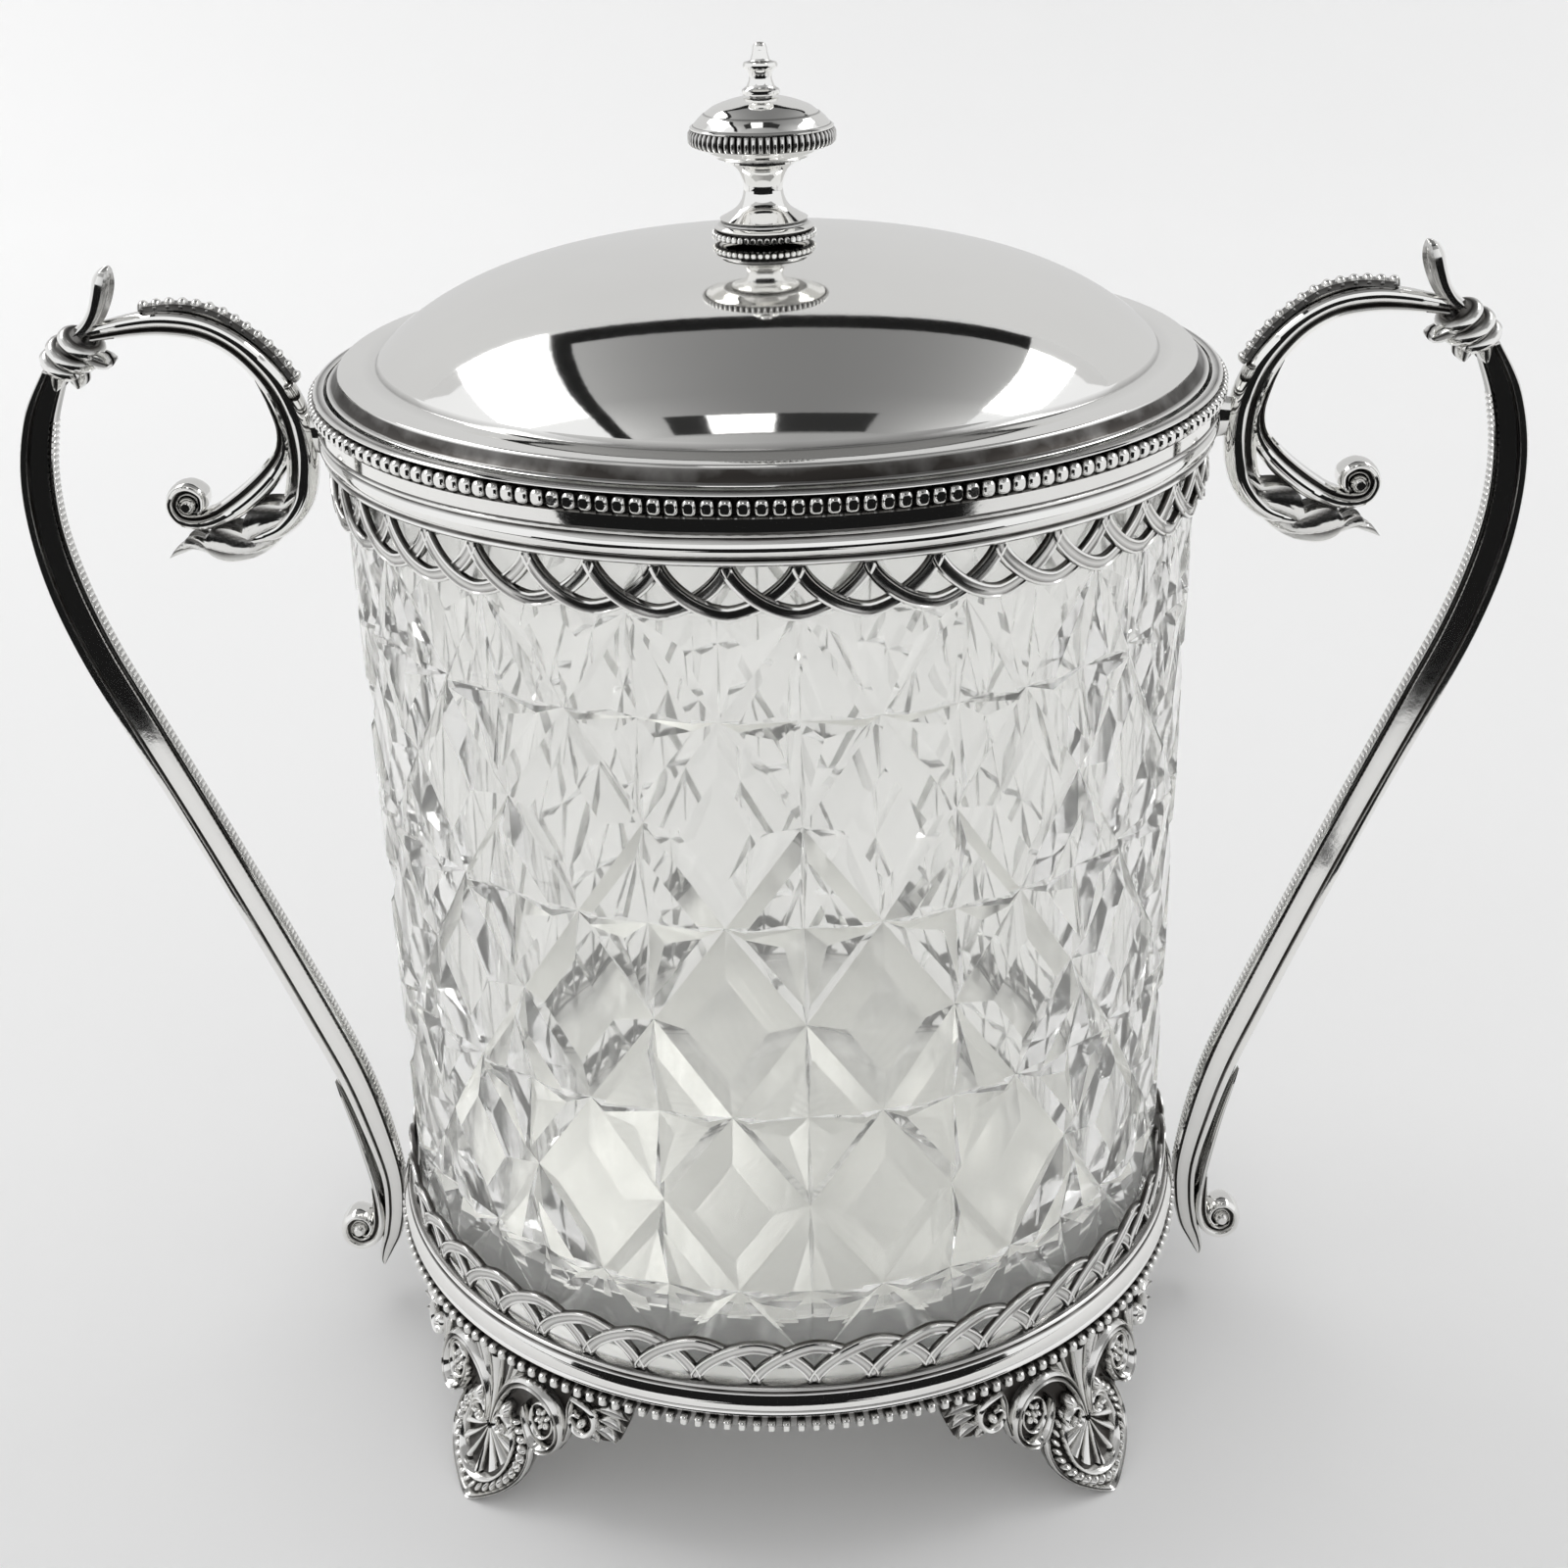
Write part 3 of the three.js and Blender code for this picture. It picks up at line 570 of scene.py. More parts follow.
def sweep(
    sketch: Sketch,
    stations: Sequence[Sequence[float]],
    section: Sequence[Sequence[float]],
    side: int,
    steps: int,
) -> None:
    """Sweeps a section along stations in the plane of the handles.

    Args:
        sketch: the drawing that it goes into.
        stations: [x, z, half width in the plane, half depth] rows for the right-hand handle.
        section: [across, deep, recess] rows, shares of the two halves.
        side: 1 for the right-hand handle, -1 for the left.
        steps: spans along the sweep.
    """
    rows = []
    samples = through(stations, steps)
    for i, (x, z, wide, deep) in enumerate(samples):
        nx, nz = normal_at(samples, i)
        row = []
        for across, depth, recess in section:
            px = x + nx * across * wide
            pz = z + nz * across * wide
            row.append(((side * px, depth * deep, pz), recess))
        rows.append(row)
    sketch.tube(rows)


# Geometry Nodes


class Repeater:
    """A Geometry Nodes tree with named inputs, and how a piece is baked from it."""

    group_name = "repeater"

    def __init__(self) -> None:
        """Builds the tree."""
        self.tree = bpy.data.node_groups.new(self.group_name, "GeometryNodeTree")
        self.graph = Graph(self.tree)
        self._socket("Geometry", "NodeSocketGeometry")
        self._socket("Copies", "NodeSocketInt")
        self._socket("Finish", "NodeSocketMaterial")
        self._extra_sockets()
        self.tree.interface.new_socket("Geometry", in_out="OUTPUT", socket_type="NodeSocketGeometry")
        self.inputs = self.graph.add("NodeGroupInput")
        self._build()

    def _socket(self, name: str, kind: str) -> None:
        """Adds one named input."""
        self.tree.interface.new_socket(name, in_out="INPUT", socket_type=kind)

    def _extra_sockets(self) -> None:
        """Adds the inputs that only one kind of repeater has."""

    def _build(self) -> None:
        """Adds the nodes."""
        raise NotImplementedError

    def _end(self, geometry: bpy.types.NodeSocket, merge: float) -> None:
        """Ends the tree: real copies, merged where they meet, with their finish.

        Args:
            geometry: the instances.
            merge: corners closer than this, in metres, are merged.
        """
        real = self.graph.add("GeometryNodeRealizeInstances", None, {0: geometry})
        joined = self.graph.add(
            "GeometryNodeMergeByDistance", None, {"Geometry": real.outputs[0], "Distance": merge}
        )
        dressed = self.graph.add(
            "GeometryNodeSetMaterial",
            None,
            {"Geometry": joined.outputs[0], "Material": self.inputs.outputs["Finish"]},
        )
        self.graph.add("NodeGroupOutput", None, {0: dressed.outputs[0]})

    def bake(
        self, source: bpy.types.Object, values: dict[str, object], name: str, sharp: float
    ) -> bpy.types.Object:
        """Runs the tree on an object and keeps the result as a plain mesh.

        Args:
            source: the object that the modifier goes on; it is removed afterwards.
            values: the tree's inputs by name.
            name: the finished object's name.
            sharp: the angle past which an edge stays crisp.

        Returns:
            The finished object.
        """
        modifier = source.modifiers.new("repeat", "NODES")
        modifier.node_group = self.tree
        for item in self.tree.interface.items_tree:
            if item.item_type == "SOCKET" and item.in_out == "INPUT" and item.name in values:
                modifier[item.identifier] = values[item.name]
        bpy.context.view_layer.update()
        graph = bpy.context.evaluated_depsgraph_get()
        mesh = bpy.data.meshes.new_from_object(
            source.evaluated_get(graph), preserve_all_data_layers=True, depsgraph=graph
        )
        source.modifiers.remove(modifier)
        bpy.data.objects.remove(source)
        mesh.name = name
        tidy(mesh, sharp)
        made = bpy.data.objects.new(name, mesh)
        bpy.context.scene.collection.objects.link(made)
        return made


class RoundRepeater(Repeater):
    """Sets copies of one bay evenly round the Z axis."""

    group_name = "round_the_ring"

    def _build(self) -> None:
        """Adds the nodes."""
        graph = self.graph
        copies = Value(graph, self.inputs.outputs["Copies"])
        line = graph.add("GeometryNodeMeshLine", None, {"Count": copies, "Offset": (0.0, 0.0, 0.0)})
        index = graph.value(graph.add("GeometryNodeInputIndex"))
        turn = index * (2 * math.pi) / copies
        angles = graph.add("ShaderNodeCombineXYZ", None, {"Z": turn})
        turned = graph.add("FunctionNodeEulerToRotation", None, {0: angles.outputs[0]})
        placed = graph.add(
            "GeometryNodeInstanceOnPoints",
            None,
            {
                "Points": line.outputs[0],
                "Instance": self.inputs.outputs["Geometry"],
                "Rotation": turned.outputs[0],
            },
        )
        self._end(placed.outputs[0], WELD)

    def ring(
        self, bay: Sketch, copies: int, finish: bpy.types.Material, name: str, sharp: float = 35.0
    ) -> bpy.types.Object:
        """Makes a ring of bays.

        Args:
            bay: one bay.
            copies: how many there are in the whole ring.
            finish: their material.
            name: the finished object's name.
            sharp: the angle past which an edge stays crisp.

        Returns:
            The ring.
        """
        source = bay.object(name + "_bay", closed=False)
        return self.bake(source, {"Copies": copies, "Finish": finish}, name, sharp)


class PathRepeater(Repeater):
    """Sets copies of a template along a path, standing out along the path's own directions."""

    group_name = "along_the_path"

    def _extra_sockets(self) -> None:
        """Adds the template's input."""
        self._socket("Template", "NodeSocketObject")

    def _build(self) -> None:
        """Adds the nodes."""
        graph = self.graph
        curve = graph.add("GeometryNodeMeshToCurve", None, {"Mesh": self.inputs.outputs["Geometry"]})
        spaced = graph.add("GeometryNodeResampleCurve", None, {"Curve": curve.outputs[0]})
        copies = next(s for s in spaced.inputs if s.name == "Count")
        graph.tree.links.new(self.inputs.outputs["Copies"], copies)
        template = graph.add(
            "GeometryNodeObjectInfo", None, {"Object": self.inputs.outputs["Template"], "As Instance": True}
        )
        out = graph.add("GeometryNodeInputNamedAttribute", {"data_type": "FLOAT_VECTOR"}, {"Name": "out"})
        size = graph.add("GeometryNodeInputNamedAttribute", {"data_type": "FLOAT"}, {"Name": "size"})
        tangent = graph.add("GeometryNodeInputTangent")
        upright = graph.add(
            "FunctionNodeAlignRotationToVector", {"axis": "Z"}, {"Vector": out.outputs["Attribute"]}
        )
        turned = graph.add(
            "FunctionNodeAlignRotationToVector",
            {"axis": "X", "pivot_axis": "Z"},
            {"Rotation": upright.outputs[0], "Vector": tangent.outputs[0]},
        )
        placed = graph.add(
            "GeometryNodeInstanceOnPoints",
            None,
            {
                "Points": spaced.outputs[0],
                "Instance": template.outputs["Geometry"],
                "Rotation": turned.outputs[0],
                "Scale": size.outputs["Attribute"],
            },
        )
        self._end(placed.outputs[0], FINE_WELD)

    def along(
        self,
        path: Sequence[tuple[Point, Point, float]],
        template: Sketch,
        copies: int,
        finish: bpy.types.Material,
        name: str,
    ) -> bpy.types.Object:
        """Makes a row of copies along a path.

        Args:
            path: points with their outward directions and sizes.
            template: one copy, lying along X and standing up along Z.
            copies: how many there are.
            finish: their material.
            name: the finished object's name.

        Returns:
            The row.
        """
        mesh = bpy.data.meshes.new(name + "_path")
        edges = [(i, i + 1) for i in range(len(path) - 1)]
        mesh.from_pydata([tuple(c * MM for c in p[0]) for p in path], edges, [])
        outward = mesh.attributes.new("out", "FLOAT_VECTOR", "POINT")
        outward.data.foreach_set("vector", [c for p in path for c in p[1]])
        sizes = mesh.attributes.new("size", "FLOAT", "POINT")
        sizes.data.foreach_set("value", [p[2] for p in path])
        source = bpy.data.objects.new(name + "_path", mesh)
        bpy.context.scene.collection.objects.link(source)
        pattern = template.object(name + "_template")
        row = self.bake(source, {"Copies": copies, "Finish": finish, "Template": pattern}, name, sharp=40.0)
        bpy.data.objects.remove(pattern)
        return row


# Joining and dressing


def joined(parts: Sequence[bpy.types.Object], name: str) -> bpy.types.Object:
    """Joins objects at the origin into one.

    Args:
        parts: the objects; they are removed.
        name: the joined object's name.

    Returns:
        The joined object.
    """
    work = bmesh.new()
    mesh = bpy.data.meshes.new(name)
    for part in parts:
        work.from_mesh(part.data)
    for material in parts[0].data.materials:
        mesh.materials.append(material)
    work.to_mesh(mesh)
    work.free()
    for part in parts:
        bpy.data.objects.remove(part)
    made = bpy.data.objects.new(name, mesh)
    bpy.context.scene.collection.objects.link(made)
    return made


def dressed(
    piece: bpy.types.Object, finish: bpy.types.Material, body: Body, slot: Slot, nodes: Sequence[str]
) -> bpy.types.Object:
    """Gives a finished piece its material and its body, names it after the first of the CAD nodes that it
    stands for and hides them all.

    Args:
        piece: the piece, a plain mesh at the origin.
        finish: its material.
        body: the body that it rides on.
        slot: not used.
        nodes: the CAD nodes that it stands for.

    Returns:
        The same piece.
    """
    piece.name = piece.data.name = nodes[0] + "_dressed"
    piece.data.materials.clear()
    piece.data.materials.append(finish)
    for polygon in piece.data.polygons:
        polygon.material_index = 0
    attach(piece, body.value)
    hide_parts(*nodes)
    LOG.info("%s: %d faces, rides on %s", piece.name, len(piece.data.polygons), body.value)
    return piece


@dataclass(frozen=True)
class Finishes:
    """The jar's materials."""

    polished: bpy.types.Material
    moulded: bpy.types.Material
    cast: bpy.types.Material
    plain: bpy.types.Material
    glass: bpy.types.Material


@dataclass(frozen=True)
class Tools:
    """The repeaters that the sub-assemblies share."""

    round: RoundRepeater
    path: PathRepeater


# Bands, bead rows and galleries


@dataclass
class BeadRow:
    """A row of small square-sided beads round a band."""

    name: str
    node: str
    radius: float
    height: float
    count: int = 190
    width: float = 1.95
    tall: float = 1.62
    proud: float = 0.9
    squareness: float = 3.2
    start: float = 0.0
    body: Body = Body.FRAME

    def bay(self) -> Sketch:
        """Draws one bead, standing out along its own radius.

        Returns:
            The drawing.
        """
        sketch = Sketch()
        levels = [(1.0, -1.0, 1.0), (1.0, 0.1, 0.75), (0.9, 0.55, 0.2), (0.62, 0.88, 0.0)]
        sides = 12
        rows = []
        for share, out, recess in levels:
            row = []
            for i in range(sides):
                angle = 2 * math.pi * (i + 0.5) / sides
                cos, sin = math.cos(angle), math.sin(angle)
                power = 2 / self.squareness
                x = math.copysign(abs(cos) ** power, cos) * share * self.width / 2
                z = math.copysign(abs(sin) ** power, sin) * share * self.tall / 2
                turn = x / self.radius + self.start
                r = self.radius + out * self.proud
                row.append(((r * math.cos(turn), r * math.sin(turn), self.height + z), recess))
            rows.append(row)
        sketch.tube(rows)
        return sketch

    def build(self, tools: Tools, finish: bpy.types.Material) -> bpy.types.Object:
        """Builds and dresses the row.

        Args:
            tools: the repeaters.
            finish: its material.

        Returns:
            The row.
        """
        row = tools.round.ring(self.bay(), self.count, finish, self.name)
        return dressed(row, finish, self.body, Slot.SILVER, [self.node])


@dataclass
class Gallery:
    """A pierced ring of interlaced arches, each two bays wide."""

    name: str
    band_height: float
    facing: Facing
    count: int = 46
    middle_radius: float = 68.1
    height: float = 7.6
    ribbon: float = 2.1
    weave: float = 0.25
    root: float = 0.3
    flank_power: float = 1.65
    crown_power: float = 0.72
    steps: int = 30

    def arch(self) -> Sketch:
        """Draws one arch.

        Returns:
            The drawing.
        """
        section = [
            (-1.0, -0.5, 1.0), (-1.0, 0.1, 0.9), (-0.88, 0.42, 0.1), (-0.62, 0.5, 0.0), (-0.46, 0.3, 0.6),
            (0.0, 0.34, 0.15), (0.46, 0.3, 0.6), (0.62, 0.5, 0.0), (0.88, 0.42, 0.1), (1.0, 0.1, 0.9),
            (1.0, -0.5, 1.0),
        ]
        pitch = 2 * math.pi * self.middle_radius / self.count
        reach = self.height - self.ribbon / 2
        centre = []
        for i in range(self.steps + 1):
            angle = math.pi * (i / self.steps - 0.5)
            x = pitch * math.sin(angle)
            share = abs(math.sin(angle))
            centre.append((x, reach * (1 - share**self.flank_power) ** self.crown_power))
        sketch = Sketch()
        rows = []
        for i, (x, y) in enumerate(centre):
            nx, ny = normal_at(centre, i)
            lift = -self.weave * math.sin(math.pi * x / pitch)
            row = []
            for across, out, recess in section:
                px = x - nx * across * self.ribbon / 2
                py = max(-self.root, y - ny * across * self.ribbon / 2)
                turn = px / self.middle_radius
                r = self.middle_radius + out + lift
                point = (r * math.cos(turn), r * math.sin(turn), self.band_height + self.facing.value * py)
                row.append((point, recess))
            rows.append(row)
        sketch.tube(rows)
        return sketch

    def build(self, tools: Tools, finish: bpy.types.Material) -> bpy.types.Object:
        """Builds and dresses the gallery.

        Args:
            tools: the repeaters.
            finish: its material.

        Returns:
            The gallery.
        """
        ring = tools.round.ring(self.arch(), self.count, finish, self.name)
        return dressed(ring, finish, Body.FRAME, Slot.SILVER, [self.name])


@dataclass
class TurnedPiece:
    """A ring or knob turned from one section."""

    name: str
    body: Body
    loop: Sequence[Sequence[float]]
    sides: int = 192
    sharp: float = 38.0

    def build(self, finish: bpy.types.Material) -> bpy.types.Object:
        """Builds and dresses the piece.

        Args:
            finish: its material.

        Returns:
            The piece.
        """
        sketch = Sketch()
        lathe(sketch, self.loop, self.sides)
        piece = sketch.object(self.name, self.sharp)
        return dressed(piece, finish, self.body, Slot.SILVER, [self.name])


def half_round(start: Pair, end: Pair, bulge: float, steps: int = 6) -> list[tuple[float, float, float]]:
    """Draws a rounded moulding between two places of a section.

    Args:
        start: [radius, height] where it begins.
        end: [radius, height] where it ends.
        bulge: how far it stands out, in millimetres; below 0 it is a hollow.
        steps: spans along it.

    Returns:
        [radius, height, recess] rows, its two ends among them.
    """
    rows = []
    for i in range(steps + 1):
        t = i / steps
        out = bulge * math.sin(math.pi * t)
        edge = 0.85 if i in (0, steps) else 0.0
        recess = edge if bulge > 0 else 0.8 * math.sin(math.pi * t)
        rows.append((start[0] + (end[0] - start[0]) * t + out, start[1] + (end[1] - start[1]) * t, recess))
    return rows


@dataclass
class Bands:
    """The moulded bands at the mouth and the base, with the plate under the glass.

    Bead rows have [radius, height] of their middle; front is where a bead stands, in degrees.
    """

    front: float = -89.86
    top_beads: Pair = (69.95, 176.78)
    base_beads: Pair = (70.1, 27.25)
    upper_gallery: float = 168.2
    lower_gallery: float = 34.3

    def top_section(self) -> list[tuple[float, ...]]:
        """Draws the top band's section: astragals, torus, plain fillet, bead seat and lip.

        Returns:
            [radius, height, recess] rows, run round the section.
        """
        return [
            (67.45, 168.45, 0.3),
            *half_round((68.9, 168.5), (69.0, 169.25), 0.35, 4),
            (69.0, 169.5, 1.0),
            *half_round((69.1, 169.6), (69.3, 172.2), 0.7, 8),
            (69.25, 172.35, 1.0),
            *half_round((69.45, 172.45), (69.45, 173.05), 0.32, 4),
            (69.35, 173.15, 0.8),
            (69.5, 173.3, 0.0),
            (69.5, 175.1, 0.0),
            (69.35, 175.25, 0.4),
            (68.9, 175.55, 1.0),
            (68.85, 177.9, 1.0),
            *half_round((69.4, 178.0), (69.2, 178.58), 0.62, 5),
            (68.3, 178.58, 0.0),
            (68.1, 178.3, 0.6),
            (67.45, 177.2, 0.9),
        ]

    def base_section(self) -> list[tuple[float, ...]]:
        """Draws the base band's section, with the ledge that the plate lies on.

        Returns:
            [radius, height, recess] rows, run round the section.
        """
        return [
            (62.4, 31.25, 0.5),
            (66.3, 31.2, 0.6),
            (66.4, 26.1, 0.5),
            (68.9, 26.0, 0.6),
            (69.0, 28.2, 1.0),
            *half_round((69.5, 28.35), (69.6, 29.75), 0.62, 6),
            (69.5, 29.9, 1.0),
            (69.75, 30.05, 0.85), (70.2, 30.15), (70.45, 30.45), (70.42, 30.8), (70.33, 31.2), (70.2, 31.6),
            (70.05, 32.0), (69.88, 32.4), (69.7, 32.75), (69.55, 33.0, 0.85),
            (69.3, 33.1, 1.0),
            *half_round((69.3, 33.2), (69.0, 33.8), 0.3, 4),
            (67.45, 33.95, 0.3),
            (67.35, 32.5, 0.6),
            (62.4, 32.4, 0.5),
        ]

    def build(self, tools: Tools, finishes: Finishes) -> None:
        """Builds the bands, their beads, their galleries and the base plate.

        Args:
            tools: the repeaters.
            finishes: the jar's materials.
        """
        TurnedPiece("top_band", Body.FRAME, self.top_section(), sides=288).build(finishes.moulded)
        TurnedPiece("base_band", Body.FRAME, self.base_section(), sides=288).build(finishes.moulded)
        plate = [(0.02, 32.72), (66.6, 32.72), (66.95, 32.95), (66.95, 33.45), (66.6, 33.68), (0.02, 33.68)]
        TurnedPiece("base_plate", Body.FRAME, plate, sides=144).build(finishes.plain)
        front = math.radians(self.front)
        top = BeadRow("top_beads", "top_bead_ring", *self.top_beads, tall=2.15, start=front)
        top.build(tools, finishes.moulded)
        base = BeadRow("base_beads", "base_bead_ring", *self.base_beads, start=front)
        base.width, base.tall, base.proud, base.squareness = 1.4, 1.6, 1.0, 5.0
        base.build(tools, finishes.moulded)
        Gallery("upper_gallery", self.upper_gallery, Facing.DOWN).build(tools, finishes.moulded)
        Gallery("lower_gallery", self.lower_gallery, Facing.UP).build(tools, finishes.moulded)


# Glass


@dataclass
class GlassLiner:
    """The cut-glass liner: windows and quartered diamonds between mitre cuts, set on half columns."""

    columns: int = 18
    radius: float = 66.8
    inner_radius: float = 62.2
    bottom: float = 34.0
    top: float = 178.28
    floor: float = 40.0
    first_row: float = 160.8
    row_pitch: float = 16.0
    rows: int = 8
    last_row: float = 35.3
    first_column: float = -96.0
    node_depth: float = 2.2
    window_depth: float = 0.5
    window_half: Pair = (6.0, 8.7)
    point_low: Pair = (3.1, 1.8)
    point_flank: float = 0.45
    point_side: float = 0.55
    land_depth: float = 0.05
    diagonal_half: float = 2.2
    neck_depth: float = 0.35
    heel_depth: float = 0.9
    half_apex: Pair = (0.36, 0.55)
    collar: float = 0.5
    fillet: float = 5.0
    heel: float = 2.0
    arc_steps: int = 4
    star_radius: float = 50.0
    star_margin: float = 2.0
    star_depth: float = 2.4
    crest_inset: float = 6.0
    crest_lift: float = 0.15

    def __post_init__(self) -> None:
        """Starts the drawing of one column's sector."""
        self.sector = Sketch()
        self.half_width = math.radians(180 / self.columns) * self.radius

    def height(self, row: float) -> float:
        """Height of a row; rows past the last but one run down to the heel."""
        if row <= self.rows - 1:
            return self.first_row - row * self.row_pitch
        edge = self.first_row - (self.rows - 1) * self.row_pitch
        return edge + (self.last_row - edge) * (row - self.rows + 1)

    def point(self, across: float, row: float, depth: float) -> Point:
        """Places a lattice point: across in half columns from the sector's middle, and its depth of cut."""
        turn = math.radians(self.first_column + across * 180 / self.columns)
        r = self.radius - depth
        return (r * math.cos(turn), r * math.sin(turn), self.height(row))

    def depth_at(self, row: int) -> float:
        """Depth of the crossings in a row; the cuts run out at the neck and the heel."""
        if row == 0:
            return self.neck_depth
        return self.heel_depth if row == self.rows else self.node_depth

    def window(self, row: int) -> None:
        """Draws one flat window and the four slopes round it."""
        wide, tall = self.window_half[0] / self.half_width, self.window_half[1] / self.row_pitch
        sag = self.radius * (1 - math.cos(math.radians(wide * 180 / self.columns)))
        ends = [(0, -1), (-1, 0), (0, 1), (1, 0)]
        outer = [self.point(c, row + r, self.depth_at(row + r)) for c, r in ends]
        inner = []
        for c, r in ends:
            depth = self.window_depth - (sag if c else 0)
            inner.append(self.point(c * wide, row + r * tall, depth))
        self.sector.face(inner)
        for i in range(4):
            j = (i + 1) % 4
            self.sector.face([outer[i], outer[j], inner[j], inner[i]])

    def quarter(self, row: int, across: int, up: int, inward: int) -> None:
        """Draws one quarter of a quartered diamond.

        Args:
            row: the diamond's row.
            across: its half column, -1 or 1.
            up: -1 for the quarter above the middle, 1 for the one below.
            inward: the side of the diamond that lies in this sector, -1 or 1.
        """
        wide = self.half_width
        tall = abs(self.height(row) - self.height(row + up))
        slope = math.hypot(wide, tall)
        a, b = tall / slope, wide / slope
        reach = wide * a - self.diagonal_half
        x1, y1 = self.point_low
        x2 = self.point_flank
        y2 = (reach - x2 * a) / b
        y3 = self.point_side
        x3 = (reach - y3 * b) / a

        def at(x: float, y: float, depth: float) -> Point:
            """Places a point of the quarter, from the diamond's middle."""
            return self.point(across + inward * x / wide, row + up * y / tall, depth)

        centre = at(0, 0, self.node_depth)
        tip = at(0, tall, self.depth_at(row + up))
        side = at(wide, 0, self.node_depth)
        p1, p2, p3 = at(x1, y1, 0.0), at(x2, y2, self.land_depth), at(x3, y3, self.land_depth)
        self.sector.face([centre, p1, p2])
        self.sector.face([centre, p2, tip])
        self.sector.face([centre, side, p3])
        self.sector.face([centre, p3, p1])
        self.sector.face([tip, p2, p3])
        self.sector.face([tip, p3, side])
        self.sector.face([p1, p3, p2])

    def edge_arc(self, row: int, start: float, end: float, depth: float) -> list[Point]:
        """Points along a level edge between two half columns."""
        count = self.arc_steps
        return [self.point(start + (end - start) * i / count, row, depth) for i in range(count + 1)]

    def half_window(self, row: int, down: int) -> None:
        """Draws the half diamond that ends the cutting at the neck or the heel, split by an upright cut.

        Args:
            row: the edge row.
            down: the row that its point reaches.
        """
        depth = self.depth_at(row)
        tip = self.point(0, down, self.node_depth)
        for side in (-1, 1):
            arc = self.edge_arc(row, 0, side, depth)
            middle = (row + down) / 2
            across, share = self.half_apex
            apex = self.point(side * across, row + (middle - row) * share, self.land_depth)
            self.sector.face([*arc, apex])
            self.sector.face([tip, self.point(0, row, depth), apex])
            self.sector.face([tip, apex, self.point(side, row, depth)])

    def skin(self, lower: Sequence[Point], upper: Sequence[Point]) -> None:
        """Draws a band of faces between two level lines of points."""
        for i in range(len(lower) - 1):
            self.sector.face([lower[i], lower[i + 1], upper[i + 1], upper[i]])

    def line(self, radius: float, height: float) -> list[Point]:
        """Points across the sector at one radius and height."""
        steps = 2 * self.arc_steps
        points = []
        for i in range(steps + 1):
            turn = math.radians(self.first_column + (2 * i / steps - 1) * 180 / self.columns)
            points.append((radius * math.cos(turn), radius * math.sin(turn), height))
        return points

    def plain_walls(self) -> None:
        """Draws the neck, the rim, the inside and the heel of one sector."""
        neck = self.line(self.radius - self.depth_at(0), self.height(0))
        collar = self.line(self.radius, self.height(0) + self.collar)
        rim = [
            (self.radius, -1.1), (66.5, -0.35), (65.7, 0.0), (63.2, 0.0), (62.4, -0.35),
            (self.inner_radius, -1.2),
        ]
        lines = [neck, collar, *[self.line(r, self.top + up) for r, up in rim]]
        lines.append(self.line(self.inner_radius, self.floor + self.fillet))
        for share in (0.35, 0.7, 1.0):
            angle = share * math.pi / 2
            r = self.inner_radius - self.fillet * (1 - math.cos(angle))
            lines.append(self.line(r, self.floor + self.fillet * (1 - math.sin(angle))))
        for lower, upper in zip(lines, lines[1:]):
            self.skin(lower, upper)
        floor_edge = lines[-1]
        for i in range(len(floor_edge) - 1):
            self.sector.face([floor_edge[i], floor_edge[i + 1], (0.0, 0.0, self.floor)])
        cut = self.line(self.radius - self.depth_at(self.rows), self.height(self.rows))
        heel = self.line(self.radius - self.heel, self.bottom)
        foot = self.line(self.star_radius + self.star_margin, self.bottom)
        self.skin(cut, heel)
        self.skin(heel, foot)
        middle = (0.0, 0.0, self.bottom + self.star_depth)
        steps = 2 * self.arc_steps
        for i in range(0, steps, 2):
            low, high, end = foot[i], foot[i + 1], foot[i + 2]
            scale = (self.star_radius - self.crest_inset) / (self.star_radius + self.star_margin)
            crest = (high[0] * scale, high[1] * scale, self.bottom + self.crest_lift)
            self.sector.face([low, high, crest])
            self.sector.face([high, end, crest])
            self.sector.face([low, crest, middle])
            self.sector.face([crest, end, middle])

    def build(self, tools: Tools, finishes: Finishes) -> bpy.types.Object:
        """Builds and dresses the liner.

        Args:
            tools: the repeaters.
            finishes: the jar's materials.

        Returns:
            The liner.
        """
        for row in range(2, self.rows, 2):
            self.window(row)
        for row in range(1, self.rows, 2):
            for across in (-1, 1):
                for up in (-1, 1):
                    self.quarter(row, across, up, -across)
        self.half_window(0, 1)
        self.half_window(self.rows, self.rows - 1)
        self.plain_walls()
        liner = tools.round.ring(self.sector, self.columns, finishes.glass, "glass_liner", sharp=9.0)
        return dressed(liner, finishes.glass, Body.LINER, Slot.GLASS, ["glass_liner"])


# Lid and finial


